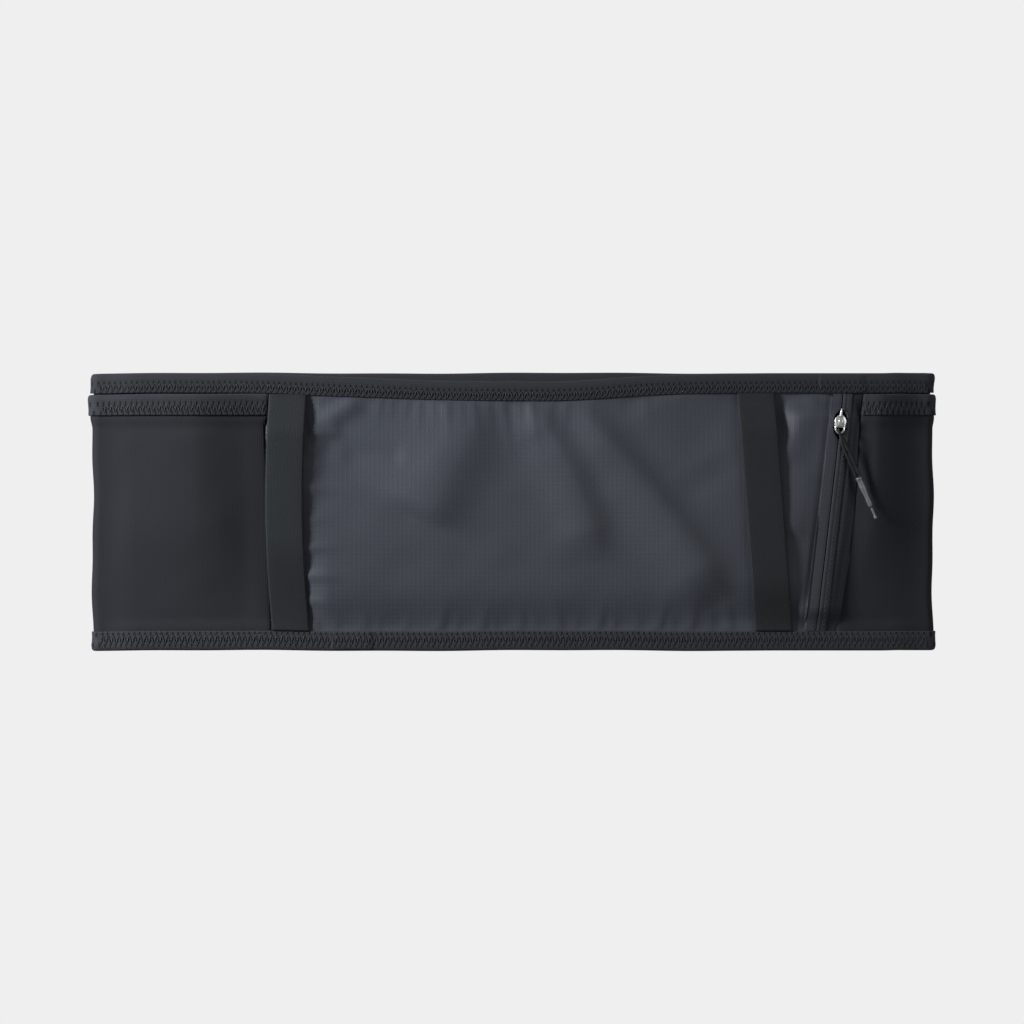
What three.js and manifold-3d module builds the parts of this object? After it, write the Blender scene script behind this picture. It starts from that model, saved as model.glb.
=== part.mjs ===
// Stretch waist pack: a pull-on knit tube, lying flat on its back with the zip side up.
// Millimetres. X runs along the waist, Y to the top edge, Z up out of the front face.
// The origin is under the middle of the flat belt, on the plane it lies on.
import * as THREE from 'three';
import { mergeVertices } from 'three/addons/utils/BufferGeometryUtils.js';
import Module from 'manifold-3d';

// ---------- Driving dimensions ----------
const STRAIGHT_HALF = 181.2;      // middle of the belt to the start of each side fold
const BODY_HEIGHT = 121.8;        // top edge to bottom edge
const FRONT_TOP_DROP = 0.4;       // the front's top edge lies a little lower than the back's
const FRONT_SAG = 3.6;            // how far the front's top edge dips at its lowest
const SAG_X = 12;                 // where it dips most
const SAG_LEFT = 150;             // reach of the dip to the left
const SAG_RIGHT = 75;             // and to the right

const FABRIC = 0.5;               // knit and woven walls
const CLEAR = 0.3;                // between pieces that lie against each other
const BINDING = 0.5;              // fold-over binding
const BINDING_WIDTH = 8.6;        // top binding, edge to edge
const HEM_WIDTH = 8.5;            // bottom binding
const MOUTH_WIDTH = 9.2;          // binding along the mouth of the side pockets
const MOUTH_DROP = 9.5;           // belt's top edge down to that binding's
const MOUTH_CLEAR = 0.36;         // wrap to this binding, which it bends with

const WAIST_GAP = 7.1;            // back wall to front wall, middle to middle
const FOLD_RADIUS = 2.2;          // tube wall at a side fold
const FOLD_TAPER = 16;            // length over which the belt thins to the fold
const POCKET_LOFT = 4.75;         // how far a pocket's wall stands off the tube
const LOFT_RUN = 11;              // length over which it comes down at a seam along an edge
const SEAM_RUN = 7;               // and at an upright seam

const LEFT_SEAM_FROM_FOLD = 73.6; // left fold to the seam between the knit and woven panels
const ZIP_FROM_FOLD = 42.5;       // right fold to the zip's line at mid-height
const ZIP_SLANT = 0.1153;         // the line's X for each Y
const SEAM_FROM_ZIP = 8.9;        // upright seam of the right knit panel, right of the zip

const BAR = 0.8;                  // elastic bar, thickness
const BAR_WIDTH = 16.4;
const BAR_CLEAR = 0.45;           // bar to the panel that it lies over
const LEFT_BAR_FROM_SEAM = [10.9, 9.1];    // middle of the left bar at its bottom and its top
const RIGHT_BAR_FROM_ZIP = [24.3, 32.3];   // and of the right bar
const BAR_BOW = 3.0;              // the left bar bows outwards by this at mid-height

const LIP = 0.7;                  // folded fabric edge beside the zip, thickness
const LIP_INNER = 0.55;           // lip's edge to the zip's line
const LIP_WIDTH = 3.65;
const TAPE = 0.4;
const TAPE_WIDTH = 3.4;
const TAPE_CLEAR = 0.5;           // tape to the panel over it, which slopes
const COIL_WIDTH = 1.2;
const COIL_HEIGHT = 1.0;
const COIL_INNER = 0.1;           // coil to the zip's line
const ZIP_END = 4.0;              // tapes and coils end this far inside the bindings' edges
const STOP_LENGTH = 1.8;
const SLOT_ROOM = 1.05;           // slider's side to the woven panel's edge
const FACING_ROOM = 0.45;         // and to the facing's edge
const LIP_ROOM = 0.35;            // and to a lip, where it bows round the slider
const UNDER_FOLD = 0.04;          // belt's fold to the plane it lies on

const SLIDER_FROM_TOP = 22.1;     // belt's top edge to the slider's middle, with the zip closed
const SLIDER_LENGTH = 7.0;
const SLIDER_WIDTH = 5.1;
const SLIDER_FOOT_WIDTH = 4.2;    // narrower at its lower end
const SLIDER_PLATE = 0.6;
const SLIDER_WALL = 0.4;
const SLIDER_NECK = 0.5;          // the wedge that parts the coils
const BRIDGE_WIDTH = 1.8;
const BRIDGE = 0.7;
const WIRE = 0.7;                 // pull ring's wire
const RING_WIDTH = 4.7;
const RING_LENGTH = 5.7;
const RING_TILT = 8;              // degrees that the ring's free end is raised
const PULLER_TURN = 23.2;         // degrees that the puller lies right of straight down
const CORD = 1.14;
const GRIP_START = 21;            // where the cord goes round the ring to the grip
const GRIP_LENGTH = 14.2;
const GRIP_WIDTH = 2.9;
const GRIP_HEIGHT = 2.2;
const TAIL_END = 40.8;            // where the cord goes round the ring to the tail's end

// ---------- Worked out from them ----------
const TOP_Y = BODY_HEIGHT / 2;
const BOTTOM_Y = -BODY_HEIGHT / 2;
const MOUTH_TOP_Y = TOP_Y - MOUTH_DROP;
const SLIDER_Y = TOP_Y - SLIDER_FROM_TOP;
const LEFT_SEAM_X = LEFT_SEAM_FROM_FOLD - STRAIGHT_HALF;
const ZIP_X = STRAIGHT_HALF - ZIP_FROM_FOLD;
const RISE = BINDING + CLEAR;                 // the room that one leg of a binding takes
const LAID_ON = FABRIC + CLEAR;               // one wall lying on another, middle to middle
const BACK_WALL_Z = LAID_ON + FABRIC / 2;     // middle of the tube's back wall
const SLOT_LEFT = SLIDER_WIDTH / 2 + SLOT_ROOM;      // woven panel's edge, left of the zip's line
const SLOT_RIGHT = SLIDER_WIDTH / 2 + FACING_ROOM;   // facing's edge, right of it
// Spread of a binding's legs about the middle of what it holds.
const EDGE_SPREAD = (LAID_ON + FABRIC) / 2 + CLEAR + BINDING / 2;
const MOUTH_SPREAD = FABRIC / 2 + MOUTH_CLEAR + BINDING / 2;
const FOLD_Z = FOLD_RADIUS + LAID_ON + RISE + MOUTH_SPREAD + BINDING / 2 + UNDER_FOLD;

// ---------- Small maths ----------
const clamp = (value) => Math.min(1, Math.max(0, value));
const ease = (value) => clamp(value) ** 2 * (3 - 2 * clamp(value));
const mix = (a, b, t) => a + (b - a) * t;
const range = (from, to, steps) => Array.from({ length: steps + 1 }, (_, i) => mix(from, to, i / steps));

// ---------- The belt's shape ----------
const zipX = (y) => ZIP_X + ZIP_SLANT * y;
const hemEdgeY = BOTTOM_Y + HEM_WIDTH;

function frontTopY(x) {
  const reach = x < SAG_X ? SAG_LEFT : SAG_RIGHT;
  const share = Math.min(1, Math.abs(x - SAG_X) / reach);
  return TOP_Y - FRONT_TOP_DROP - FRONT_SAG * 0.5 * (1 + Math.cos(Math.PI * share));
}

// 1 along the middle of the belt, 0 at the side folds.
const flatness = (x) => ease((STRAIGHT_HALF - Math.abs(x)) / FOLD_TAPER);

// The bindings are thicker than the panels, so the walls rise over them at both edges.
const overHem = (y) => ease((hemEdgeY + 6 - y) / 5);
const overMouth = (y) => ease((y - (MOUTH_TOP_Y - MOUTH_WIDTH - 6)) / 5);
const overTop = (x, y) => ease((y - (frontTopY(x) - BINDING_WIDTH - 5)) / 5);

function backWallZ(x, y) {
  const mouthRise = 2 * RISE + MOUTH_CLEAR - CLEAR;
  const middle = BACK_WALL_Z + RISE * overHem(y) + mouthRise * overMouth(y);
  return mix(FOLD_Z - FOLD_RADIUS, middle, flatness(x));
}

function frontWallZ(x, y) {
  const middle = BACK_WALL_Z + WAIST_GAP + RISE * (overHem(y) + overTop(x, y));
  return mix(FOLD_Z + FOLD_RADIUS, middle, flatness(x));
}

// A point on the tube's wall, pushed outwards by `out`. The way round, u, runs from 0 to 4 and on:
// 0-1 along the back to +X, 1-2 round the right fold, 2-3 along the front to -X, 3-4 the left fold.
const lap = (u) => ((u % 4) + 4) % 4;

function skin(u, y, out) {
  const leg = Math.floor(lap(u));
  const part = lap(u) - leg;
  if (leg === 0) {
    const x = mix(-STRAIGHT_HALF, STRAIGHT_HALF, part);
    return new THREE.Vector3(x, y, backWallZ(x, y) - out);
  }
  if (leg === 2) {
    const x = mix(STRAIGHT_HALF, -STRAIGHT_HALF, part);
    return new THREE.Vector3(x, y, frontWallZ(x, y) + out);
  }
  const side = leg === 1 ? 1 : -1;
  const angle = Math.PI * part;
  const reach = FOLD_RADIUS + out;
  return new THREE.Vector3(
    side * (STRAIGHT_HALF + reach * Math.sin(angle)),
    y,
    FOLD_Z - side * reach * Math.cos(angle),
  );
}

const backU = (x) => (x + STRAIGHT_HALF) / (2 * STRAIGHT_HALF);
const frontU = (x) => 2 + (STRAIGHT_HALF - x) / (2 * STRAIGHT_HALF);
const frontX = (u) => mix(STRAIGHT_HALF, -STRAIGHT_HALF, lap(u) - 2);
const isFront = (u) => lap(u) >= 2 && lap(u) <= 3;

// The front's top edge is lower than the back's; the drop is made round the folds.
function topEdgeY(u) {
  if (isFront(u)) return frontTopY(frontX(u));
  const part = lap(u) < 2 ? clamp(lap(u) - 1) : clamp(4 - lap(u));
  return TOP_Y - FRONT_TOP_DROP * part;
}

// How far a pocket's wall stands off the tube's wall.
const rightSeamX = (y) => zipX(y) + SEAM_FROM_ZIP;
const hemLoft = (y) => ease((y - hemEdgeY) / LOFT_RUN);
const topLoft = (x, y) => ease((frontTopY(x) - BINDING_WIDTH - y) / LOFT_RUN);

function seamPinch(x, y) {
  const left = ease(Math.abs(x - LEFT_SEAM_X) / SEAM_RUN);
  const right = ease(Math.abs(x - rightSeamX(y)) / SEAM_RUN);
  return left * right;
}

const panelOut = (x, y) => LAID_ON + POCKET_LOFT * hemLoft(y) * topLoft(x, y) * seamPinch(x, y);
const panelZ = (x, y) => frontWallZ(x, y) + panelOut(x, y);

function wrapOut(u, y) {
  const base = LAID_ON + RISE * overMouth(y);
  if (!isFront(u)) return base;
  const x = frontX(u);
  return base + POCKET_LOFT * hemLoft(y) * seamPinch(x, y) * flatness(x);
}

// ---------- Solids ----------
// A sheet of one thickness about the surface point(u, v). A closed sheet joins up round u.
function sheet(point, us, vs, thickness, closed = false) {
  const step = 1e-4;
  const positions = [];
  for (const face of [0.5, -0.5]) {
    for (const u of us) {
      for (const v of vs) {
        const along = point(u + step, v).sub(point(u - step, v));
        const across = point(u, v + step).sub(point(u, v - step));
        const normal = along.cross(across).normalize();
        const place = point(u, v).addScaledVector(normal, face * thickness);
        positions.push(place.x, place.y, place.z);
      }
    }
  }
  const rows = us.length;
  const columns = vs.length;
  const at = (face, i, j) => (face * rows + (i % rows)) * columns + j;
  const index = [];
  const quad = (a, b, c, d) => index.push(a, b, c, a, c, d);
  const last = columns - 1;
  for (let i = 0; i < (closed ? rows : rows - 1); i += 1) {
    for (let j = 0; j < last; j += 1) {
      quad(at(0, i, j), at(0, i + 1, j), at(0, i + 1, j + 1), at(0, i, j + 1));
      quad(at(1, i, j), at(1, i, j + 1), at(1, i + 1, j + 1), at(1, i + 1, j));
    }
    quad(at(1, i, 0), at(1, i + 1, 0), at(0, i + 1, 0), at(0, i, 0));
    quad(at(0, i, last), at(0, i + 1, last), at(1, i + 1, last), at(1, i, last));
  }
  for (let j = 0; j < last && !closed; j += 1) {
    const end = rows - 1;
    quad(at(0, 0, j), at(0, 0, j + 1), at(1, 0, j + 1), at(1, 0, j));
    quad(at(1, end, j), at(1, end, j + 1), at(0, end, j + 1), at(0, end, j));
  }
  const geometry = new THREE.BufferGeometry();
  geometry.setAttribute('position', new THREE.Float32BufferAttribute(positions, 3));
  geometry.setIndex(index);
  geometry.computeVertexNormals();
  return geometry;
}

// A fold-over binding's section: v runs from the outer leg's edge (0) over the fold to the inner
// leg's edge (3). `up` is 1 at a top edge and -1 at a bottom one.
function bindingPlace(v, edgeY, width, spread, up) {
  const bendY = edgeY - up * (BINDING / 2 + spread);
  const legY = edgeY - up * width;
  if (v < 1) return { y: mix(legY, bendY, v), out: spread };
  if (v > 2) return { y: mix(bendY, legY, v - 2), out: -spread };
  const angle = Math.PI * (v - 1);
  return { y: bendY + up * spread * Math.sin(angle), out: spread * Math.cos(angle) };
}

const BINDING_SECTION = [0, 0.35, 0.7, 1, 1.3, 1.7, 2, 2.3, 2.65, 3];

// Stations round the belt: close together at the folds and seams, far apart on the flats.
const taper = range(STRAIGHT_HALF, STRAIGHT_HALF - FOLD_TAPER, 4);
const flats = range(STRAIGHT_HALF - FOLD_TAPER, -(STRAIGHT_HALF - FOLD_TAPER), 11).slice(1, -1);
const frontXs = [...taper, ...flats, ...taper.map((x) => -x).reverse()];
const foldParts = range(0, 1, 6).slice(1, -1);
const frontStations = frontXs.map(frontU);
const backStations = frontXs.map((x) => backU(-x));
const roundStations = [
  ...backStations, ...foldParts.map((part) => 1 + part),
  ...frontStations, ...foldParts.map((part) => 3 + part),
];

// Rows up a wall: 0-1 is a band of fixed height at its lower edge, 2-3 one at its upper edge.
const LOW_BAND = 18.5;
const HIGH_BAND = 24;
const WALL_ROWS = [0, 0.39, 0.55, 0.71, 1, 1.5, 2, 2.15, 2.3, 2.45, 2.6, 3];
const WRAP_HIGH_BAND = 15.5;
const WRAP_ROWS = [0, 0.39, 0.52, 0.64, 0.78, 1, 1.5, 2, 2.18, 2.36, 2.57, 2.72, 2.86, 3];
function rowY(v, low, high, highBand = HIGH_BAND) {
  if (v < 1) return low + v * LOW_BAND;
  if (v > 2) return high - (3 - v) * highBand;
  return mix(low + LOW_BAND, high - highBand, v - 1);
}

// Pieces caught in a binding end just inside its fold.
const caughtIn = (spread) => BINDING / 2 + spread - CLEAR;
const lowEdgeY = BOTTOM_Y + caughtIn(EDGE_SPREAD);
const caughtTopY = (x) => frontTopY(x) - caughtIn(EDGE_SPREAD);

// ---------- Fabric pieces ----------
const innerTube = sheet(
  (u, v) => skin(u, rowY(v, lowEdgeY, topEdgeY(u) - caughtIn(EDGE_SPREAD)), 0),
  roundStations, WALL_ROWS, FABRIC, true,
);

// The wrap runs from the left seam round the back to the right seam. w counts its five legs.
function wrapU(w, y) {
  if (w < 1) return frontU(mix(LEFT_SEAM_X - CLEAR / 2, -STRAIGHT_HALF, w));
  if (w < 4) return w + 2;
  return 4 + frontU(mix(STRAIGHT_HALF, rightSeamX(y) + CLEAR / 2, w - 4));
}

// It is cut in three, with upright seams on the back just inside the folds.
const JOIN_X = STRAIGHT_HALF - FOLD_TAPER;
const backTaper = range(STRAIGHT_HALF, JOIN_X + CLEAR / 2, 4);
const wrapLegs = {
  left: [
    ...[0, 0.03, 0.06, 0.1, 0.3, 0.6, 0.78, 0.84, 0.89, 0.95, 1],
    ...foldParts.map((part) => 1 + part),
    ...backTaper.map((x) => 2 + backU(-x)),
  ],
  back: range(CLEAR / 2 - JOIN_X, JOIN_X - CLEAR / 2, 6).map((x) => 2 + backU(x)),
  right: [
    ...backTaper.map((x) => 2 + backU(x)).reverse(),
    ...foldParts.map((part) => 3 + part),
    ...[4, 4.12, 4.24, 4.36, 4.5, 4.66, 4.78, 4.86, 4.93, 5],
  ],
};

function wrapPlace(w, y, extra) {
  const u = wrapU(w, y);
  return skin(u, y, wrapOut(u, y) + extra);
}

const wrapTopY = MOUTH_TOP_Y - caughtIn(MOUTH_SPREAD);
const wrapPanel = (part) => sheet(
  (w, v) => wrapPlace(w, rowY(v, lowEdgeY, wrapTopY, WRAP_HIGH_BAND), 0),
  wrapLegs[part], WRAP_ROWS, FABRIC,
);

const mouthBinding = (part) => sheet((w, v) => {
  const place = bindingPlace(v, MOUTH_TOP_Y, MOUTH_WIDTH, MOUTH_SPREAD, 1);
  return wrapPlace(w, place.y, place.out);
}, wrapLegs[part], BINDING_SECTION, BINDING);

const edgeBinding = (edgeY, width, up) => sheet((u, v) => {
  const place = bindingPlace(v, edgeY(u), width, EDGE_SPREAD, up);
  return skin(u, place.y, LAID_ON / 2 + place.out);
}, roundStations, BINDING_SECTION, BINDING, true);

const topBinding = edgeBinding(topEdgeY, BINDING_WIDTH, 1);
const bottomBinding = edgeBinding(() => BOTTOM_Y, HEM_WIDTH, -1);

const frontPanel = sheet((s, v) => {
  const y = rowY(v, lowEdgeY, caughtTopY(mix(LEFT_SEAM_X, ZIP_X, s)));
  const x = mix(LEFT_SEAM_X + CLEAR / 2, zipX(y) - SLOT_LEFT, s);
  return new THREE.Vector3(x, y, panelZ(x, y));
}, [0, 0.01, 0.02, 0.03, ...range(0.1, 1, 12)], WALL_ROWS, FABRIC);

const zipFacing = sheet((n, v) => {
  const y = rowY(v, lowEdgeY, caughtTopY(ZIP_X));
  const x = zipX(y) + n;
  return new THREE.Vector3(x, y, panelZ(x, y));
}, range(SLOT_RIGHT, SEAM_FROM_ZIP - CLEAR / 2, 6), WALL_ROWS, FABRIC);

// An elastic bar lies over the panel at the height of its own middle line, from binding to binding.
const BAR_ROWS = [0, 0.2, 0.4, 0.6, 1, 1.3, 1.7, 2, 2.55, 2.7, 2.85, 3];
function elasticBar([lowX, highX], bow) {
  const lowY = hemEdgeY + CLEAR;
  const highY = frontTopY((lowX + highX) / 2) - BINDING_WIDTH - CLEAR;
  return sheet((n, v) => {
    const y = rowY(v, lowY, highY);
    const share = (y - lowY) / (highY - lowY);
    const middleX = mix(lowX, highX, share) + bow * Math.sin(Math.PI * share);
    const z = panelZ(middleX, y) + FABRIC / 2 + BAR_CLEAR + BAR / 2;
    return new THREE.Vector3(middleX + n, y, z);
  }, range(-BAR_WIDTH / 2, BAR_WIDTH / 2, 2), BAR_ROWS, BAR);
}

const leftBarX = LEFT_BAR_FROM_SEAM.map((distance) => LEFT_SEAM_X + distance);
const rightBarX = RIGHT_BAR_FROM_ZIP.map((distance) => ZIP_X - distance);

// ---------- Zip ----------
// Lips, tapes and coils follow the zip's line; `side` is -1 to its left and 1 to its right.
const zipTopY = frontTopY(ZIP_X) - BINDING_WIDTH;
const zipZ = (y) => frontWallZ(ZIP_X, y) + LAID_ON + POCKET_LOFT * hemLoft(y) * topLoft(ZIP_X, y);

// 1 beside the slider and the knot under it, 0 away from them.
const besideSlider = (y) => ease((y - SLIDER_Y + 13) / 6) * ease((SLIDER_Y + 9.5 - y) / 5);

const overZip = (x, y) => zipZ(y);

function zipStrip(side, innerEdge, width, height, thickness, lowY, highY, surface = overZip) {
  const ys = [...range(lowY, lowY + LOW_BAND, 5), 0, ...range(SLIDER_Y - 13, highY, 14)];
  return sheet((y, m) => {
    const x = zipX(y) + side * (innerEdge(y) + width * (side > 0 ? m : 1 - m));
    return new THREE.Vector3(x, y, surface(x, y) + height);
  }, ys, range(0, 1, surface === overZip ? 1 : 4), thickness);
}

const lipShift = SLIDER_WIDTH / 2 + LIP_ROOM - LIP_INNER;
const lipInner = (y) => LIP_INNER + lipShift * besideSlider(y);
const lipHeight = FABRIC / 2 + CLEAR + LIP / 2;
const zipLip = (side) => zipStrip(
  side, lipInner, LIP_WIDTH, lipHeight, LIP, hemEdgeY + CLEAR, zipTopY - CLEAR,
);

const coilLowY = hemEdgeY + ZIP_END + STOP_LENGTH + CLEAR;
const coilHighY = zipTopY - ZIP_END - STOP_LENGTH - CLEAR;
const coilInner = (y) => COIL_INNER + SLIDER_NECK * ease((y - SLIDER_Y + 1) / 2.5);
const coilHeight = FABRIC / 2 - COIL_HEIGHT / 2;
const zipCoil = (side) => zipStrip(side, coilInner, COIL_WIDTH, coilHeight, COIL_HEIGHT, coilLowY, coilHighY);

const tapeHeight = -FABRIC / 2 - TAPE_CLEAR - TAPE / 2;
const tapeShift = SLIDER_WIDTH / 2 + CLEAR - COIL_INNER - COIL_WIDTH - CLEAR;
const tapeInner = (y) => COIL_INNER + COIL_WIDTH + CLEAR + tapeShift * besideSlider(y)
  + SLIDER_NECK * ease((y - SLIDER_Y + 1) / 2.5) * (1 - besideSlider(y));
const zipTape = (side) => zipStrip(
  side, tapeInner, TAPE_WIDTH, tapeHeight, TAPE, hemEdgeY + ZIP_END, zipTopY - ZIP_END, panelZ,
);

function stopBlock(lowN, highN, lowY) {
  const block = new THREE.BoxGeometry(highN - lowN, STOP_LENGTH, COIL_HEIGHT);
  const y = lowY + STOP_LENGTH / 2;
  const surfaceZ = Math.min(zipZ(lowY), zipZ(lowY + STOP_LENGTH));
  block.translate(zipX(y) + (lowN + highN) / 2, y, surfaceZ + coilHeight);
  return block;
}

const stopInner = COIL_INNER + SLIDER_NECK;
const topStopY = coilHighY + CLEAR;
const topStopRight = stopBlock(stopInner, stopInner + COIL_WIDTH, topStopY);
const topStopLeft = stopBlock(-stopInner - COIL_WIDTH, -stopInner, topStopY);
const bottomStopY = coilLowY - CLEAR - STOP_LENGTH;
const bottomStop = stopBlock(-COIL_INNER - COIL_WIDTH, COIL_INNER + COIL_WIDTH, bottomStopY);

// ---------- Slider and puller ----------
// The slider's own frame: X to the right of the zip, Y up along it, Z out, zero on the panel's middle.
const zipAngle = Math.atan(ZIP_SLANT);
const channelLow = coilHeight - COIL_HEIGHT / 2 - CLEAR;
const channelHigh = coilHeight + COIL_HEIGHT / 2 + CLEAR;
const plateTop = channelHigh + SLIDER_PLATE;
const ringAxisY = 0.4;
const ringAxisZ = plateTop + CLEAR + WIRE / 2;

const wasm = await Module();
wasm.setup();

function solid(geometry) {
  const bare = geometry.clone();
  bare.deleteAttribute('normal');
  bare.deleteAttribute('uv');
  const merged = mergeVertices(bare);
  return new wasm.Manifold(new wasm.Mesh({
    numProp: 3,
    vertProperties: new Float32Array(merged.attributes.position.array),
    triVerts: new Uint32Array(merged.index.array),
  }));
}

function joined(geometries) {
  const mesh = geometries.map(solid).reduce((sum, one) => sum.add(one)).getMesh();
  const geometry = new THREE.BufferGeometry();
  geometry.setAttribute('position', new THREE.Float32BufferAttribute(mesh.vertProperties, 3));
  geometry.setIndex([...mesh.triVerts]);
  geometry.computeVertexNormals();
  return geometry;
}

function extruded(shape, low, high) {
  const options = { depth: high - low, bevelEnabled: false, curveSegments: 6 };
  const geometry = new THREE.ExtrudeGeometry(shape, options);
  return geometry.translate(0, 0, low);
}

// Wide shoulders where the coils part, and a narrower, rounded foot.
function sliderOutline() {
  const half = SLIDER_WIDTH / 2;
  const foot = SLIDER_FOOT_WIDTH / 2;
  const end = SLIDER_LENGTH / 2;
  const outline = new THREE.Shape();
  outline.moveTo(-foot + 0.6, -end);
  outline.lineTo(foot - 0.6, -end);
  outline.quadraticCurveTo(foot, -end, foot, -end + 0.6);
  outline.lineTo(half, end - 1.8);
  outline.quadraticCurveTo(half, end, half - 1.4, end);
  outline.lineTo(-half + 1.4, end);
  outline.quadraticCurveTo(-half, end, -half, end - 1.8);
  outline.lineTo(-foot, -end + 0.6);
  outline.quadraticCurveTo(-foot, -end, -foot + 0.6, -end);
  return outline;
}

function sliderFlange(side) {
  const half = SLIDER_WIDTH / 2;
  const foot = SLIDER_FOOT_WIDTH / 2;
  const end = SLIDER_LENGTH / 2;
  const corners = [
    [foot - SLIDER_WALL, -end + 0.7], [foot, -end + 0.7],
    [half, end - 1.8], [half - SLIDER_WALL, end - 1.8],
  ];
  return new THREE.Shape(corners.map(([x, y]) => new THREE.Vector2(side * x, y)));
}

const neck = new THREE.BoxGeometry(SLIDER_NECK, 1.9, plateTop - channelLow + SLIDER_PLATE);
neck.translate(0, SLIDER_LENGTH / 2 - 1.05, (plateTop + channelLow - SLIDER_PLATE) / 2);
const flangeLow = tapeHeight + TAPE / 2 + 0.1;
const sliderBody = joined([
  extruded(sliderOutline(), channelLow - SLIDER_PLATE, channelLow),
  extruded(sliderOutline(), channelHigh, plateTop),
  extruded(sliderFlange(-1), flangeLow, plateTop - 0.1),
  extruded(sliderFlange(1), flangeLow, plateTop - 0.1),
  neck,
]);

// The bridge is a strap that arches over the pull ring's end.
function bridgeStrap() {
  const foot = plateTop + CLEAR;
  const under = ringAxisZ + WIRE / 2 + CLEAR;
  const back = SLIDER_LENGTH / 2 - 0.5;
  const front = -2.1;
  const arch = new THREE.Shape();
  arch.moveTo(front, foot);
  arch.quadraticCurveTo(front, under + BRIDGE, front + 1.5, under + BRIDGE);
  arch.lineTo(back - 1.5, under + BRIDGE);
  arch.quadraticCurveTo(back, under + BRIDGE, back, foot);
  arch.lineTo(back - BRIDGE, foot);
  arch.quadraticCurveTo(back - BRIDGE, under, back - 1.7, under);
  arch.lineTo(front + 1.7, under);
  arch.quadraticCurveTo(front + BRIDGE, under, front + BRIDGE, foot);
  const options = { depth: BRIDGE_WIDTH, bevelEnabled: false, curveSegments: 6 };
  const strap = new THREE.ExtrudeGeometry(arch, options);
  strap.translate(0, 0, -BRIDGE_WIDTH / 2);
  strap.rotateZ(Math.PI / 2);
  strap.rotateY(Math.PI / 2);
  return strap;
}

function pullRing() {
  const radius = (RING_WIDTH - WIRE) / 2;
  const reach = (RING_LENGTH - WIRE) / 2;
  const ring = new THREE.TorusGeometry(radius, WIRE / 2, 8, 20);
  ring.scale(1, reach / radius, 1);
  ring.translate(0, -reach, 0);
  ring.rotateX(-THREE.MathUtils.degToRad(RING_TILT));
  ring.translate(0, ringAxisY, ringAxisZ);
  return ring;
}

// The puller: a doubled cord through the ring, a moulded grip and the cord's sealed tail.
// Its own frame has Y from the tail to the ring, and zero where the cord goes round the ring's wire.
const GRIP_Z = 15.45;             // height of the grip's middle
const LOOP_Z = 15.5;              // height of the ring's wire inside the cord's loop
const tiltReach = RING_LENGTH - WIRE;
const tilt = THREE.MathUtils.degToRad(RING_TILT);
const ringEndY = ringAxisY - tiltReach * Math.cos(tilt);
const ringEndZ = ringAxisZ + tiltReach * Math.sin(tilt);
const sliderZ = zipZ(SLIDER_Y);
const pullerX = zipX(SLIDER_Y) + ringEndY * Math.sin(zipAngle);
const pullerY = SLIDER_Y + ringEndY * Math.cos(zipAngle);

const cordRoute = [
  [0.8, -20.7, 15.45], [0.82, -14, 15.6], [0.7, -7, 16.2], [0.25, -2.6, 16.95], [0, -0.2, 17],
  [0, 1.05, 16.6], [0, 1.45, 15.55], [0, 1.05, 14.55], [0, -0.2, 14.1], [-0.25, -2.2, 14.4],
  [-0.75, -5, 15.1], [-0.85, -9, 15.35], [-0.82, -14, 15.45], [-0.8, -20.7, 15.45],
];

function pullCord() {
  const section = new THREE.Shape();
  section.absarc(0, 0, CORD / 2, 0, 2 * Math.PI);
  const route = new THREE.CatmullRomCurve3(cordRoute.map(([x, y, z]) => new THREE.Vector3(x, y, z)));
  return new THREE.ExtrudeGeometry(section, { steps: 56, curveSegments: 4, extrudePath: route });
}

function turnedPiece(profile, startY, height) {
  const points = profile.map(([radius, along]) => new THREE.Vector2(radius, along));
  const piece = new THREE.LatheGeometry(points, 14);
  piece.rotateX(Math.PI);
  piece.scale(1, 1, height);
  piece.translate(0, -startY, GRIP_Z);
  return piece;
}

const gripHalf = GRIP_WIDTH / 2;
const gripProfile = [
  [0, 0], [gripHalf * 0.8, 0], [gripHalf, 0.8], [gripHalf * 0.95, GRIP_LENGTH * 0.35],
  [gripHalf * 0.68, GRIP_LENGTH * 0.66], [gripHalf * 0.78, GRIP_LENGTH * 0.85],
  [gripHalf * 0.55, GRIP_LENGTH - 0.3], [0, GRIP_LENGTH],
];
const tailLength = TAIL_END - GRIP_START - GRIP_LENGTH - CLEAR;
const tailProfile = [
  [0, 0], [CORD / 2, 0], [CORD / 2, tailLength * 0.7], [CORD * 0.65, tailLength * 0.85],
  [CORD * 0.3, tailLength], [0, tailLength],
];
const flatten = GRIP_HEIGHT / GRIP_WIDTH;

// ---------- Assembly ----------
const COLOURS = {
  knit: 0x2b2c30, woven: 0x42454e, binding: 0x3a3c40, elastic: 0x2e3235, tape: 0x202228,
  coil: 0x1c1d21, metal: 0xc8cacc, cord: 0x18191b, grip: 0x3a3c41,
};
const cloth = (color) => new THREE.MeshStandardMaterial({ color, roughness: 0.9, metalness: 0 });
const bright = (color) => new THREE.MeshStandardMaterial({ color, roughness: 0.25, metalness: 1 });

function piece(name, geometry, material) {
  const mesh = new THREE.Mesh(geometry, material);
  mesh.name = name;
  return mesh;
}

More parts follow.
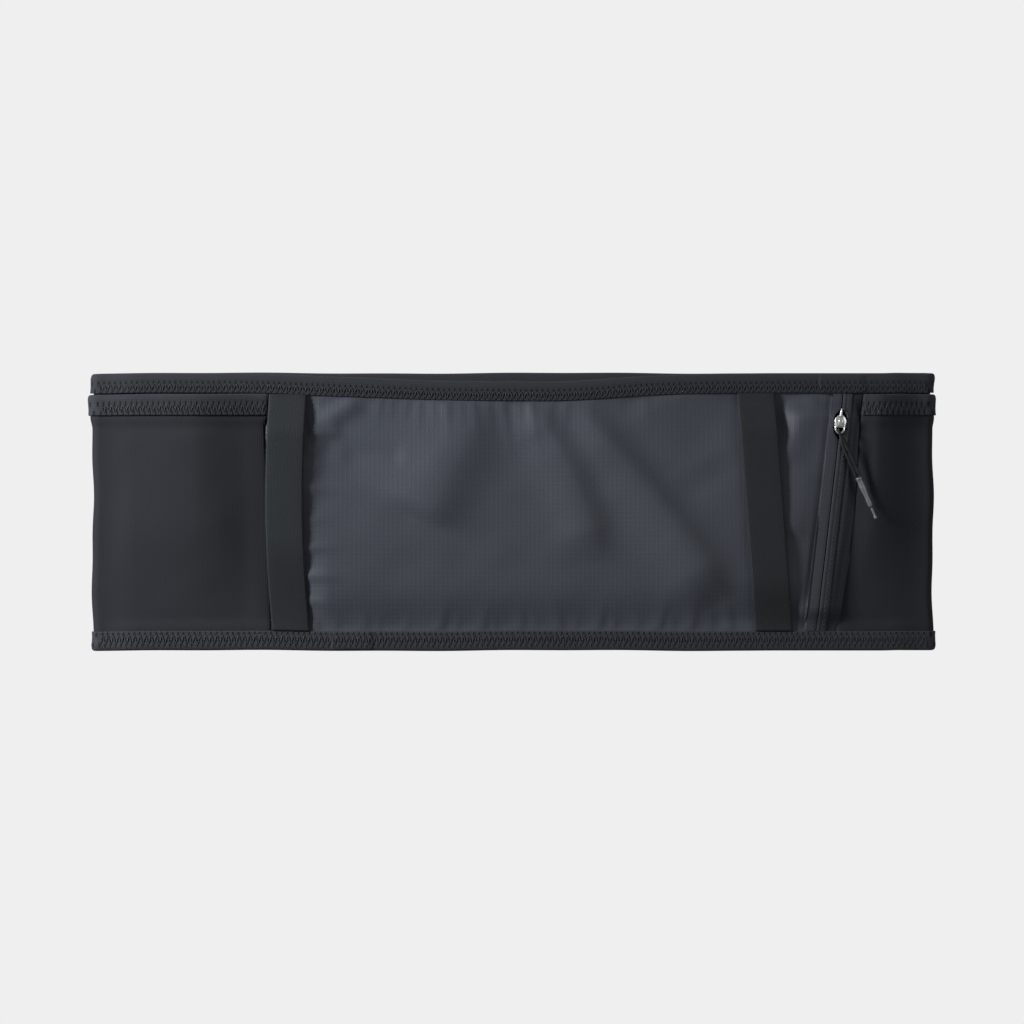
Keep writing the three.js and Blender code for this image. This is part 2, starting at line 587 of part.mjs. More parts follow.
const pack = new THREE.Group();
pack.add(
  piece('inner_tube', innerTube, cloth(COLOURS.knit)),
  piece('front_panel', frontPanel, cloth(COLOURS.woven)),
  piece('zip_facing', zipFacing, cloth(COLOURS.woven)),
  piece('top_binding', topBinding, cloth(COLOURS.binding)),
  piece('bottom_binding', bottomBinding, cloth(COLOURS.binding)),
  piece('bar_left', elasticBar(leftBarX, -BAR_BOW), cloth(COLOURS.elastic)),
  piece('bar_right', elasticBar(rightBarX, 0), cloth(COLOURS.elastic)),
  piece('bottom_stop', bottomStop, bright(COLOURS.coil)),
);
for (const part of ['left', 'back', 'right']) {
  pack.add(
    piece(`wrap_${part}`, wrapPanel(part), cloth(COLOURS.knit)),
    piece(`mouth_binding_${part}`, mouthBinding(part), cloth(COLOURS.binding)),
  );
}
for (const [word, side, stop] of [['left', -1, topStopLeft], ['right', 1, topStopRight]]) {
  pack.add(
    piece(`lip_${word}`, zipLip(side), cloth(COLOURS.woven)),
    piece(`zip_tape_${word}`, zipTape(side), cloth(COLOURS.tape)),
    piece(`zip_coil_${word}`, zipCoil(side), cloth(COLOURS.coil)),
    piece(`top_stop_${word}`, stop, bright(COLOURS.coil)),
  );
}

const slider = new THREE.Group();
slider.position.set(zipX(SLIDER_Y), SLIDER_Y, sliderZ);
slider.rotation.z = -zipAngle;
slider.add(
  piece('slider_body', sliderBody, bright(COLOURS.metal)),
  piece('slider_bridge', bridgeStrap(), bright(COLOURS.metal)),
  piece('pull_ring', pullRing(), bright(COLOURS.metal)),
);

const puller = new THREE.Group();
puller.position.set(pullerX, pullerY, sliderZ + ringEndZ - LOOP_Z);
puller.rotation.z = THREE.MathUtils.degToRad(PULLER_TURN);
puller.add(
  piece('pull_cord', pullCord(), cloth(COLOURS.cord)),
  piece('pull_grip', turnedPiece(gripProfile, GRIP_START, flatten), cloth(COLOURS.grip)),
  piece('pull_tail', turnedPiece(tailProfile, GRIP_START + GRIP_LENGTH + CLEAR, 1), cloth(COLOURS.cord)),
);
pack.add(slider, puller);

export default pack;
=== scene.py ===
# Pull-on waist pack of stretch knit, lying flat on its back with its zip pocket up.
# Sizes are in millimetres, and each mesh is brought to metres as it is made.
import math

import bmesh
import bpy
import numpy as np
from mathutils import Matrix, Vector


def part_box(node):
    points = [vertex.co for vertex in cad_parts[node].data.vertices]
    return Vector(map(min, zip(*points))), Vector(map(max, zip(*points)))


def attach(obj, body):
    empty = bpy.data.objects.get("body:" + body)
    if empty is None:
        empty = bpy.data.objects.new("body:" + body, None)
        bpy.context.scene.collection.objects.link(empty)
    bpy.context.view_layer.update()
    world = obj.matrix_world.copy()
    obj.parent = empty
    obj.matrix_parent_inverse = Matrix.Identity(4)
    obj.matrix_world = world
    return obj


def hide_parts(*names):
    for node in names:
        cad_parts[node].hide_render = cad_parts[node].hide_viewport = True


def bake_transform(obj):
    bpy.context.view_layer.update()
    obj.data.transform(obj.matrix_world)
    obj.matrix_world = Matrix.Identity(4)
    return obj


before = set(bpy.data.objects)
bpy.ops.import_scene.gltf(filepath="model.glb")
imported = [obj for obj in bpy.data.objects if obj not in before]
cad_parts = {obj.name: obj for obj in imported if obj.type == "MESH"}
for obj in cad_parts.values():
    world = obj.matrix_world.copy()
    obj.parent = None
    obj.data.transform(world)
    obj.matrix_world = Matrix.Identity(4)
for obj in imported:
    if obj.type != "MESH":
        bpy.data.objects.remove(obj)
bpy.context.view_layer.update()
MM = 0.001

# ---------- Floor, light and camera ----------
# The pack lies on a plain pale studio floor under one large soft lamp to its upper left,
# with a weak fill, and is seen from straight above.
scene = bpy.context.scene
scene.view_settings.view_transform = "Standard"
FLOOR_SHADE = 0.863
SHELTER = 0.14                  # how much of the pale room's light reaches the cloth


def node_set(tree, kind, **values):
    node = tree.nodes.new("ShaderNode" + kind)
    for key, value in values.items():
        setattr(node, key, value)
    return node


def linked(name, data):
    thing = bpy.data.objects.new(name, data)
    scene.collection.objects.link(thing)
    return thing


def fill(node, **values):
    """Sets a node's inputs, whose names are written here with _ for each space."""
    for key, value in values.items():
        node.inputs[key.replace("_", " ")].default_value = value


def pale_room(owner, output, surface):
    """Shows the room at its full paleness, and lets only a part of it light the pack."""
    owner.use_nodes = True
    tree = owner.node_tree
    tree.nodes.clear()
    output, surface = node_set(tree, output), node_set(tree, surface)
    path = node_set(tree, "LightPath")
    strength = node_set(tree, "MapRange")
    fill(strength, To_Min=FLOOR_SHADE * SHELTER, To_Max=FLOOR_SHADE)
    tree.links.new(path.outputs["Is Camera Ray"], strength.inputs["Value"])
    tree.links.new(strength.outputs["Result"], surface.inputs["Strength"])
    fill(surface, Color=(1, 1, 1, 1))
    tree.links.new(surface.outputs[0], output.inputs["Surface"])


world = bpy.data.worlds.new("pale_room")
pale_room(world, "OutputWorld", "Background")
scene.world = world

floor_mesh = bpy.data.meshes.new("floor")
floor_shape = bmesh.new()
bmesh.ops.create_grid(floor_shape, x_segments=1, y_segments=1, size=4)
floor_shape.to_mesh(floor_mesh)
floor_shape.free()
floor = linked("floor", floor_mesh)
floor.location.z = -0.0005
floor_finish = bpy.data.materials.new("floor")
pale_room(floor_finish, "OutputMaterial", "Emission")
floor_mesh.materials.append(floor_finish)


def soft_lamp(name, place, size, power):
    lamp = bpy.data.lights.new(name, "AREA")
    lamp.size = size
    lamp.energy = power
    lamp_object = linked(name, lamp)
    lamp_object.location = place
    lamp_object.rotation_euler = (-Vector(place)).to_track_quat("-Z", "Y").to_euler()


soft_lamp("key_lamp", (-0.74, 0.30, 0.40), 0.22, 8.6)
soft_lamp("fill_lamp", (0.75, 0.2, 0.6), 0.5, 1.3)

SEEN_WIDTH = 0.448              # of the scene, across the picture at the pack
CAMERA_HEIGHT = 2.0
camera = linked("camera", bpy.data.cameras.new("camera"))
camera.data.sensor_width = 36
camera.data.lens = camera.data.sensor_width * CAMERA_HEIGHT / SEEN_WIDTH
camera.data.clip_end = 20
camera.location = (-0.00033, -0.00018, CAMERA_HEIGHT + 0.0125)
scene.camera = camera

# ---------- Pull cord ----------
# A length of black braided polyester cord, doubled through the slider's ring, with both
# ends in the moulded grip. It is limp, and its loop is tight round the wire.
PULLER_AT = (142.652, 34.279, 0.696)
PULLER_TURN = math.radians(23.2)
CORD_WIDE = 1.14
CORD_ROUTE = [
    (0.8, -20.7, 15.45), (0.82, -14, 15.6), (0.7, -7, 16.2), (0.25, -2.6, 16.95),
    (0, -0.2, 17), (0, 1.05, 16.6), (0, 1.45, 15.55), (0, 1.05, 14.55), (0, -0.2, 14.1),
    (-0.25, -2.2, 14.4), (-0.75, -5, 15.1), (-0.85, -9, 15.35), (-0.82, -14, 15.45),
    (-0.8, -20.7, 15.45),
]
puller_place = Matrix.Translation(PULLER_AT) @ Matrix.Rotation(PULLER_TURN, 4, "Z")


def rough_finish(name, colour, rough, sheen=0.0):
    """A material with one Principled shader, whose base colour and bump are still to come."""
    finish = bpy.data.materials.new(name)
    finish.use_nodes = True
    shader = finish.node_tree.nodes["Principled BSDF"]
    fill(shader, Base_Color=(*colour, 1), Roughness=rough, Specular_IOR_Level=0.35)
    fill(shader, Sheen_Weight=sheen, Sheen_Roughness=0.5)
    finish.diffuse_color = (*colour, 1)
    return finish, finish.node_tree, shader


def pattern_space(tree, source, scale=(1, 1, 1), turn=0.0):
    """The cloth's own map, or the object's own space, scaled and turned for one pattern."""
    coordinates = node_set(tree, "TexCoord")
    mapping = node_set(tree, "Mapping")
    fill(mapping, Scale=scale, Rotation=(0, 0, turn))
    tree.links.new(coordinates.outputs[source], mapping.inputs["Vector"])
    return mapping.outputs["Vector"]


def ribs(tree, vector, pitch, direction="X"):
    """Parallel ribs, `pitch` mm apart: the wave texture has 20 radians to a unit of scale."""
    wave = node_set(tree, "TexWave", bands_direction=direction, wave_profile="SIN")
    fill(wave, Scale=2 * math.pi / (20 * pitch * MM))
    tree.links.new(vector, wave.inputs["Vector"])
    return wave.outputs["Fac"]


def speckle(tree, vector, scale, detail=3.0, rough=0.6):
    noise = node_set(tree, "TexNoise")
    fill(noise, Scale=scale, Detail=detail, Roughness=rough)
    tree.links.new(vector, noise.inputs["Vector"])
    return noise.outputs["Fac"]


def worked(tree, operation, first, second):
    """One sum of two patterns or numbers."""
    node = node_set(tree, "Math", operation=operation)
    for socket, value in zip(node.inputs, (first, second)):
        if isinstance(value, (int, float)):
            socket.default_value = value
        else:
            tree.links.new(value, socket)
    return node.outputs[0]


def summed(tree, *parts):
    """Patterns added up, each with its own weight."""
    total = worked(tree, "MULTIPLY", *parts[0])
    for part in parts[1:]:
        total = worked(tree, "ADD", total, worked(tree, "MULTIPLY", *part))
    return total


def shaded(tree, shader, factor, dark, light):
    """Runs the base colour from dark to light by a pattern."""
    ramp = node_set(tree, "Mix", data_type="RGBA")
    ramp.inputs[6].default_value = (*dark, 1)
    ramp.inputs[7].default_value = (*light, 1)
    tree.links.new(factor, ramp.inputs[0])
    tree.links.new(ramp.outputs[2], shader.inputs["Base Color"])


def bumped(tree, shader, height, distance, strength=1.0):
    bump = node_set(tree, "Bump")
    fill(bump, Distance=distance * MM, Strength=strength)
    tree.links.new(height, bump.inputs["Height"])
    tree.links.new(bump.outputs["Normal"], shader.inputs["Normal"])


def tinted(colour, share):
    return tuple(channel * share for channel in colour)


CORD_BLACK = (0.0140, 0.0148, 0.0170)
cord_finish, tree, shader = rough_finish("braided_cord", CORD_BLACK, 0.62, 0.15)
BRAID_PITCH = 0.6545
braid = worked(tree, "MULTIPLY", *(
    ribs(tree, space, BRAID_PITCH, "DIAGONAL") for space in (
        pattern_space(tree, "Object", turn=0.4), pattern_space(tree, "Object", (1, -1, 1)),
    )
))
shaded(tree, shader, braid, tinted(CORD_BLACK, 0.6), tinted(CORD_BLACK, 1.7))
bumped(tree, shader, braid, 0.12)

cord_line = bpy.data.curves.new("pull_cord_braid", "CURVE")
cord_line.dimensions = "3D"
cord_line.bevel_depth = CORD_WIDE / 2 * MM
cord_line.bevel_resolution = 4
cord_line.resolution_u = 10
cord_line.use_fill_caps = True
spline = cord_line.splines.new("BEZIER")
spline.bezier_points.add(len(CORD_ROUTE) - 1)
for knot, place in zip(spline.bezier_points, CORD_ROUTE):
    knot.co = puller_place @ Vector(place) * MM
    knot.handle_left_type = knot.handle_right_type = "AUTO"
cord_line.materials.append(cord_finish)
pull_cord = linked("pull_cord_braid", cord_line)
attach(pull_cord, "puller")
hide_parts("pull_cord")

# ---------- Belt's inner tube ----------
# A tube of ribbed elastane knit, closed all round and pressed flat, with its edges caught in
# the two bindings. It is the layer next to the wearer's waist.
STRAIGHT_HALF = 181.2           # middle of the belt to the start of each side fold
TOP_Y = 60.9
FRONT_TOP_DROP = 0.4
FRONT_SAG = 3.6                 # the front's top edge dips most here
SAG_X = 12
HEM_EDGE_Y = -52.4
BINDING_WIDTH = 8.6
MOUTH_TOP_Y = 51.4              # top edge of the side pockets
MOUTH_WIDTH = 9.2
FOLD_Z = 4.95
FOLD_RADIUS = 2.2
FOLD_TAPER = 16
RISE = 0.8                      # room that one leg of a binding takes
LAID_ON = 0.8                   # one wall on another, middle to middle
KNIT_THICK = 0.5
POCKET_LOFT = 4.75
LEFT_SEAM_X = -107.6
ZIP_X = 138.7
ZIP_SLANT = 0.1153


def ease(share):
    share = np.clip(share, 0, 1)
    return share * share * (3 - 2 * share)


def mix(first, last, share):
    return first + (last - first) * share


def front_top_y(x):
    reach = np.where(x < SAG_X, 150, 75)
    share = np.minimum(1, np.abs(x - SAG_X) / reach)
    return TOP_Y - FRONT_TOP_DROP - FRONT_SAG * 0.5 * (1 + np.cos(np.pi * share))


def flatness(x):
    return ease((STRAIGHT_HALF - np.abs(x)) / FOLD_TAPER)


def over_hem(y):
    return ease((HEM_EDGE_Y + 6 - y) / 5)


def over_mouth(y):
    return ease((y - (MOUTH_TOP_Y - MOUTH_WIDTH - 6)) / 5)


def over_top(x, y):
    return ease((y - (front_top_y(x) - BINDING_WIDTH - 5)) / 5)


def back_wall_z(x, y):
    middle = 1.05 + RISE * over_hem(y) + 1.66 * over_mouth(y)
    return mix(FOLD_Z - FOLD_RADIUS, middle, flatness(x))


def front_wall_z(x, y):
    middle = 8.15 + RISE * (over_hem(y) + over_top(x, y))
    return mix(FOLD_Z + FOLD_RADIUS, middle, flatness(x))


def round_wall(u, y, out):
    """A point on the tube's wall. u is 0-1 along the back, 1-2 round the right fold,
    2-3 along the front and 3-4 round the left fold."""
    lap = np.mod(u, 4)
    leg = np.floor(lap)
    part = lap - leg
    side = np.where(leg == 1, 1, -1)
    back_x = mix(-STRAIGHT_HALF, STRAIGHT_HALF, part)
    reach = FOLD_RADIUS + out
    fold_x = side * (STRAIGHT_HALF + reach * np.sin(np.pi * part))
    fold_z = FOLD_Z - side * reach * np.cos(np.pi * part)
    x = np.select([leg == 0, leg == 2], [back_x, -back_x], fold_x)
    z = np.select(
        [leg == 0, leg == 2],
        [back_wall_z(back_x, y) - out, front_wall_z(-back_x, y) + out], fold_z,
    )
    return x, y, z


def left_seam_x(y):
    """The left seam leans a little, and its binding reaches past it."""
    return LEFT_SEAM_X + 0.2 - 0.034 * np.minimum(y, 35) + 1.4 * ease((y - 38) / 4)


def front_u(x):
    return 2 + (STRAIGHT_HALF - x) / (2 * STRAIGHT_HALF)


def front_x(u):
    return STRAIGHT_HALF - (np.mod(u, 4) - 2) * 2 * STRAIGHT_HALF


def is_front(u):
    return (np.mod(u, 4) >= 2) & (np.mod(u, 4) <= 3)


def top_edge_y(u):
    lap = np.mod(u, 4)
    part = np.where(lap < 2, np.clip(lap - 1, 0, 1), np.clip(4 - lap, 0, 1))
    return np.where(is_front(u), front_top_y(front_x(u)), TOP_Y - FRONT_TOP_DROP * part)


def along_round(u):
    """How far round the belt a point lies, on the cloth laid flat."""
    straight, fold = 2 * STRAIGHT_HALF, math.pi * 2.8
    marks = [0, straight, straight + fold, 2 * straight + fold, 2 * (straight + fold)]
    return np.interp(np.mod(u, 4), [0, 1, 2, 3, 4], marks) + np.floor(u / 4) * marks[-1]


def settled(x, y, z):
    """Soft cloth is never quite straight: its edges wander by a third of a millimetre."""
    still = 1 - ease((x - 100) / 15) * ease((170 - x) / 8)
    edge = ease((np.abs(y) - 30) / 28)
    side = ease((np.abs(x) - 165) / 20)
    shift_y = 0.20 * np.sin(x / 23 + 0.6) + 0.10 * np.sin(x / 8.3 + 2)
    shift_x = 0.35 * np.sin(y / 11 + 1.1) + 0.2 * np.sin(y / 4.7)
    return x + shift_x * side, y + shift_y * edge * still, z


def bent_cloth(name, us, vs, place, flat, thick, finish, joined=False):
    """A flat grid of cloth with columns at us and rows at vs, bent to place(u, v). Its UV map
    is flat(u, v), where each point lay before it was bent, in metres."""
    grid = bmesh.new()
    bmesh.ops.create_grid(grid, x_segments=len(us) - 1, y_segments=len(vs) - 1, size=0.5)
    mesh = bpy.data.meshes.new(name)
    grid.to_mesh(mesh)
    grid.free()
    at = np.empty(len(mesh.vertices) * 3, np.float32)
    mesh.vertices.foreach_get("co", at)
    at = at.reshape(-1, 3)[:, :2]
    share = (at - at.min(0)) / (at.max(0) - at.min(0))
    u = np.asarray(us, float)[np.rint(share[:, 0] * (len(us) - 1)).astype(int)]
    v = np.asarray(vs, float)[np.rint(share[:, 1] * (len(vs) - 1)).astype(int)]
    mesh.vertices.foreach_set("co", (np.column_stack(settled(*place(u, v))) * MM).ravel())
    corner = np.empty(len(mesh.loops), np.int32)
    mesh.loops.foreach_get("vertex_index", corner)
    laid = np.column_stack(flat(u, v)) * MM
    mesh.uv_layers.new(name="cloth").data.foreach_set("uv", laid[corner].ravel())
    if joined:
        ring = bmesh.new()
        ring.from_mesh(mesh)
        bmesh.ops.remove_doubles(ring, verts=ring.verts, dist=0.01 * MM)
        ring.to_mesh(mesh)
        ring.free()
    mesh.shade_smooth()
    mesh.materials.append(finish)
    piece = linked(name, mesh)
    wall = piece.modifiers.new("wall", "SOLIDIFY")
    wall.thickness = thick * MM
    wall.offset = 0
    return piece


def steps(first, last, pitch):
    return np.linspace(first, last, max(2, int(abs(last - first) / pitch + 1.5)))


def round_columns(pitch):
    straight = np.linspace(0, 1, int(2 * STRAIGHT_HALF / pitch) + 1)[:-1]
    fold = np.linspace(0, 1, 13)[:-1]
    return np.concatenate([straight, 1 + fold, 2 + straight, 3 + fold, [4]])


def placed(piece, body, slot, *cad_nodes):
    if body:
        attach(piece, body)
    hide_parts(*cad_nodes)
    return piece


# fine upright ribs of elastane knit, each one a chain of small loops
KNIT_GREY = (0.0212, 0.0222, 0.0292)
knit, tree, shader = rough_finish("knit", KNIT_GREY, 0.85)
laid = pattern_space(tree, "UV")
cloudy = speckle(tree, pattern_space(tree, "Object"), 28, 2, 0.5)
yarn = speckle(tree, pattern_space(tree, "UV", (1, 0.3, 1)), 2600, 2)
height = summed(tree, (ribs(tree, laid, 0.9), 1), (ribs(tree, laid, 0.7, "Y"), 0.45), (yarn, 0.8))
tone = summed(tree, (height, 0.16), (cloudy, 0.6))
shaded(tree, shader, tone, tinted(KNIT_GREY, 0.72), tinted(KNIT_GREY, 1.30))
bumped(tree, shader, height, 0.07, 0.45)


def tube_place(u, v):
    low, high = -59.75, top_edge_y(u) - 1.15
    return round_wall(u, mix(low, high, v), 0)


tube = bent_cloth(
    "inner_tube_knit", round_columns(3), np.linspace(0, 1, 61), tube_place,
    lambda u, v: (along_round(u), v * 119), KNIT_THICK, knit, joined=True,
)
placed(tube, "belt", "knit", "inner_tube")

# ---------- Pocket panels' loft ----------
# The front panels lie on the tube and stand off it as flat pockets: down at the bindings and at
# the upright seams, and up between them.
SEAM_FROM_ZIP = 8.9
LEFT_BAR_RUN = 42               # up from the hem, where each bar rises off it
RIGHT_BAR_RUN = 24


def zip_x(y):
    return ZIP_X + ZIP_SLANT * y


def right_seam_x(y):
    return zip_x(y) + SEAM_FROM_ZIP


def hem_loft(y):
    return ease((y - HEM_EDGE_Y) / 11)


def top_loft(x, y):
    return ease((front_top_y(x) - BINDING_WIDTH - y) / 11)


def seam_pinch(x, y):
    return ease(np.abs(x - LEFT_SEAM_X) / 7) * ease(np.abs(x - right_seam_x(y)) / 7)


def panel_z(x, y):
    loft = POCKET_LOFT * hem_loft(y) * top_loft(x, y) * seam_pinch(x, y)
    return front_wall_z(x, y) + LAID_ON + loft


def soft_ridge(x, y, line, height, before, after):
    """A ridge of cloth along a line drawn downwards: `before` mm wide on its left flank and
    `after` on its right. It fades out at both ends."""
    line = np.array(line, float)
    knots = np.linspace(0, 1, len(line))
    fine = np.linspace(0, 1, 49)
    bend = min(2, len(line) - 1)
    path = np.column_stack([np.polyval(np.polyfit(knots, line[:, axis], bend), fine) for axis in (0, 1)])
    way = np.gradient(path, axis=0)
    step = np.linalg.norm(way, axis=1)
    way = way / step[:, None]
    gap = np.column_stack((x, y))[:, None, :] - path[None]
    nearest = np.argmin((gap ** 2).sum(2), axis=1)
    gap = gap[np.arange(len(nearest)), nearest]
    way, step = way[nearest], step[nearest]
    along = fine[nearest] + (gap * way).sum(1) / step / 48
    off = way[:, 0] * gap[:, 1] - way[:, 1] * gap[:, 0]
    width = np.where(off > 0, after, before)
    fade = ease(along / 0.22) * ease((1 - along) / 0.22)
    return height * fade * np.exp(-(off / width) ** 2)


chance = np.random.default_rng(7)
CRUMPLES = [
    (chance.uniform(0, 2 * np.pi), chance.uniform(16, 60), chance.uniform(0, 2 * np.pi))
    for _ in range(22)
]


def crumple(x, y, height):
    """The faint unevenness that all soft cloth has."""
    total = np.zeros_like(x)
    for heading, length, start in CRUMPLES:
        total += np.sin((x * np.cos(heading) + y * np.sin(heading)) * 2 * np.pi / length + start)
    return height * total / math.sqrt(len(CRUMPLES))


# ---------- Knit side panels ----------
# One layer of the same knit goes from the left seam round the back to the right seam. On the
# front it makes the side pockets; two upright back seams join its three parts.
JOIN_X = STRAIGHT_HALF - FOLD_TAPER
KNIT_LOFT = 3.6
LEFT_KNIT_FOLDS = [
    ([(-138, 50), (-137, 20), (-132, -10), (-118, -52)], 0.7, 26, 13),
    ([(-182, -6), (-150, -10), (-116, -14)], 0.7, 17, 15),
    ([(-152, 40), (-158, 10), (-150, -30)], 0.3, 14, 14),
]
RIGHT_KNIT_FOLDS = [
    ([(160, 36), (157, 10), (160, -20)], 0.35, 9, 9),
]


def seen_seam_x(y):
    """The knit's edge at the right seam, which the taut cloth bows outwards."""
    return right_seam_x(y) + 2.2 * np.sin(np.pi * ease((y - HEM_EDGE_Y) / 104)) ** 1.3


def wrap_u(w, y):
    left = front_u(mix(left_seam_x(y), -STRAIGHT_HALF, w))
    right = 4 + front_u(mix(STRAIGHT_HALF, seen_seam_x(y), w - 4))
    return np.select([w < 1, w < 4], [left, w + 2], right)


def wrap_out(u, y):
    base = LAID_ON + RISE * over_mouth(y)
    x = front_x(u)
    rise = ease((y - HEM_EDGE_Y) / 60) * 0.85 + 0.15 * hem_loft(y)
    left = KNIT_LOFT * ease((LEFT_SEAM_X - x) / 33) * ease((STRAIGHT_HALF + x) / 46)
    right = 5.0 * (0.66 + 0.34 * ease((x - seen_seam_x(y)) / 9)) * ease((STRAIGHT_HALF - x) / 24)
    # its raw edges are turned down into the seams
    turned_down = 0.35 * (
        np.exp(-((x - left_seam_x(y)) / 0.9) ** 2) + np.exp(-((x - seen_seam_x(y)) / 0.9) ** 2)
    )
    return np.where(is_front(u), base + rise * np.where(x < 0, left, right) - turned_down, base)


def wrap_relief(u, y):
    """Soft folds of the two side pockets, on the front only."""
    x = front_x(u)
    relief = crumple(x, y, 0.10)
    for line, height, before, after in LEFT_KNIT_FOLDS + RIGHT_KNIT_FOLDS:
        relief += soft_ridge(x, y, line, height, before, after)
    inside = ease((y - HEM_EDGE_Y - 1) / 8) * ease((40 - y) / 8)
    from_seams = ease((np.abs(x - LEFT_SEAM_X) - 4) / 8) * ease((np.abs(x - right_seam_x(y)) - 2) / 6)
    return np.where(is_front(u), (relief - 0.35) * inside * from_seams * flatness(x), 0)


def wrap_place(w, y, extra, relief=True):
    u = wrap_u(w, y)
    out = wrap_out(u, y) + extra
    if relief:
        out = out + wrap_relief(u, y)
    return round_wall(u, y, out)


def wrap_flat(w, y):
    return along_round(wrap_u(w, y)), y + 61


join_share = (STRAIGHT_HALF - JOIN_X + 0.1) / (2 * STRAIGHT_HALF)
fold_columns = np.linspace(0, 1, 13)[1:]
WRAP_COLUMNS = {
    "left": np.concatenate([
        steps(0, 1, 0.0136), 1 + fold_columns, 2 + steps(0, join_share, 0.004)[1:],
    ]),
    "back": 2 + steps(join_share, 1 - join_share, 0.012),
    "right": np.concatenate([
        2 + steps(1 - join_share, 1, 0.004), 3 + fold_columns, 4 + steps(0, 1, 0.03)[1:],
    ]),
}
for part, columns in WRAP_COLUMNS.items():
    side = bent_cloth(
        f"knit_panel_{part}", columns, np.linspace(0, 1, 106),
        lambda w, v: wrap_place(w, mix(-59.75, MOUTH_TOP_Y - 0.81, v), 0),
        lambda w, v: wrap_flat(w, mix(-59.75, MOUTH_TOP_Y - 0.81, v)), KNIT_THICK, knit,
    )
    placed(side, "belt", "knit", f"wrap_{part}")

# ---------- Woven front panel ----------
# Light ripstop nylon, cut a little longer than the belt it is sewn to, so it puckers into small
# tucks at both bindings and hangs in long slanting folds.
PANEL_THICK = 0.5
SLOT_LEFT = 3.6                 # its right edge, left of the zip's line
SEAM_TUCK = 1.2                 # cloth that runs on under the knit at a seam
LONG_FOLDS = [
    ([(-11, 53), (-22, 30), (-33, 8), (-39, -6)], 3.3, 20, 13.5),
    ([(3, 52), (18, 27), (32, 4), (38, -24)], 2.7, 13, 6.8),
    ([(19, 54), (45, 26), (65, 1), (80, -19), (94, -40)], 3.9, 14, 7.6),
    ([(-76, 24), (-66, 25), (-56, 25), (-46, 24)], -0.5, 5, 5),
    ([(-66, 50), (-78, 42), (-92, 34)], 1.2, 4, 4.5),
    ([(-74, 38), (-84, 32), (-92, 24)], 0.7, 4, 4),
    ([(136, 52), (127, 38), (118, 20)], 1.0, 5, 8),
    ([(133, 22), (125, 4), (119, -12)], 1.0, 10, 8),
    ([(60, 54), (72, 34), (86, 12)], 0.8, 16, 20),
]
TOP_TUCKS = [
    (-84, 0.4, 2.0, 7), (-66, 0.3, 1.8, 6), (-57.6, 0.5, 1.6, 9), (-53, 0.35, 1.3, 7),
    (-46, 0.4, 1.5, 8), (-40.6, 0.55, 1.5, 10), (-35, 0.35, 1.3, 8), (-28.5, 0.7, 1.7, 12),
    (-22.6, 0.4, 1.3, 8), (-17.4, 0.7, 1.6, 13), (-11, 0.5, 1.6, 9), (-4.4, 0.9, 1.8, 15),
    (2.6, 0.5, 1.5, 9), (8, 0.8, 1.9, 15), (17, 0.5, 1.8, 9), (24, 0.6, 2.0, 11),
    (34.6, 0.35, 2.0, 8), (47, 0.3, 2.2, 7), (58, 0.5, 2.0, 9), (74, 0.25, 2.2, 7),
]
LOW_TUCKS = [
    (-86, 0.9, 2.4, 12), (-77.6, 0.5, 2.2, 8), (-64.4, 0.7, 2.6, 10), (-59, 0.4, 1.8, 7),
    (-47, 0.4, 2.0, 8), (-32, 0.9, 2.6, 12), (-25, 0.4, 1.8, 7), (-13.4, 0.9, 2.6, 12),
    (-7.6, 0.5, 1.8, 8), (3.6, 0.8, 2.6, 11), (10.4, 0.4, 1.8, 7), (21, 0.8, 2.4, 12),
    (27, 0.4, 1.8, 7), (37.4, 0.9, 2.5, 12), (44.4, 0.6, 1.9, 9), (55, 0.5, 2.1, 9),
    (63.6, 1.0, 2.4, 13), (70, 0.5, 1.8, 8), (78, 0.9, 2.3, 12), (87, 0.6, 2.0, 9), (95.6, 1.1, 2.4, 14),
]
TUCK_SHARE = 0.55               # of each tuck's height, once it is pressed flat
SIDE_TUCKS = [(35.5, 0.8, 2.4, 13), (20, 0.35, 2.4, 9), (10.5, 0.7, 2.5, 12), (-4, 0.35, 2.4, 9),
              (-16, 0.75, 2.4, 11), (-28, 0.9, 2.5, 12), (-39, 0.7, 2.2, 9)]


def tucked(relief, x, tucks, away, sway, turn, left_flank, run, steep):
    """Tucks pressed into one binding, each leaning and dying out as it leaves the edge."""
    for middle, height, width, reach in tucks:
        lean = middle + away * sway * np.sin(middle * turn)
        flank = np.where(x < lean, left_flank, 0.8) * width
        reached = np.exp(-(np.maximum(0, away - run) / (steep * reach)) ** 2)
        relief = relief + TUCK_SHARE * height * np.exp(-((x - lean) / flank) ** 2) * reached
    return relief


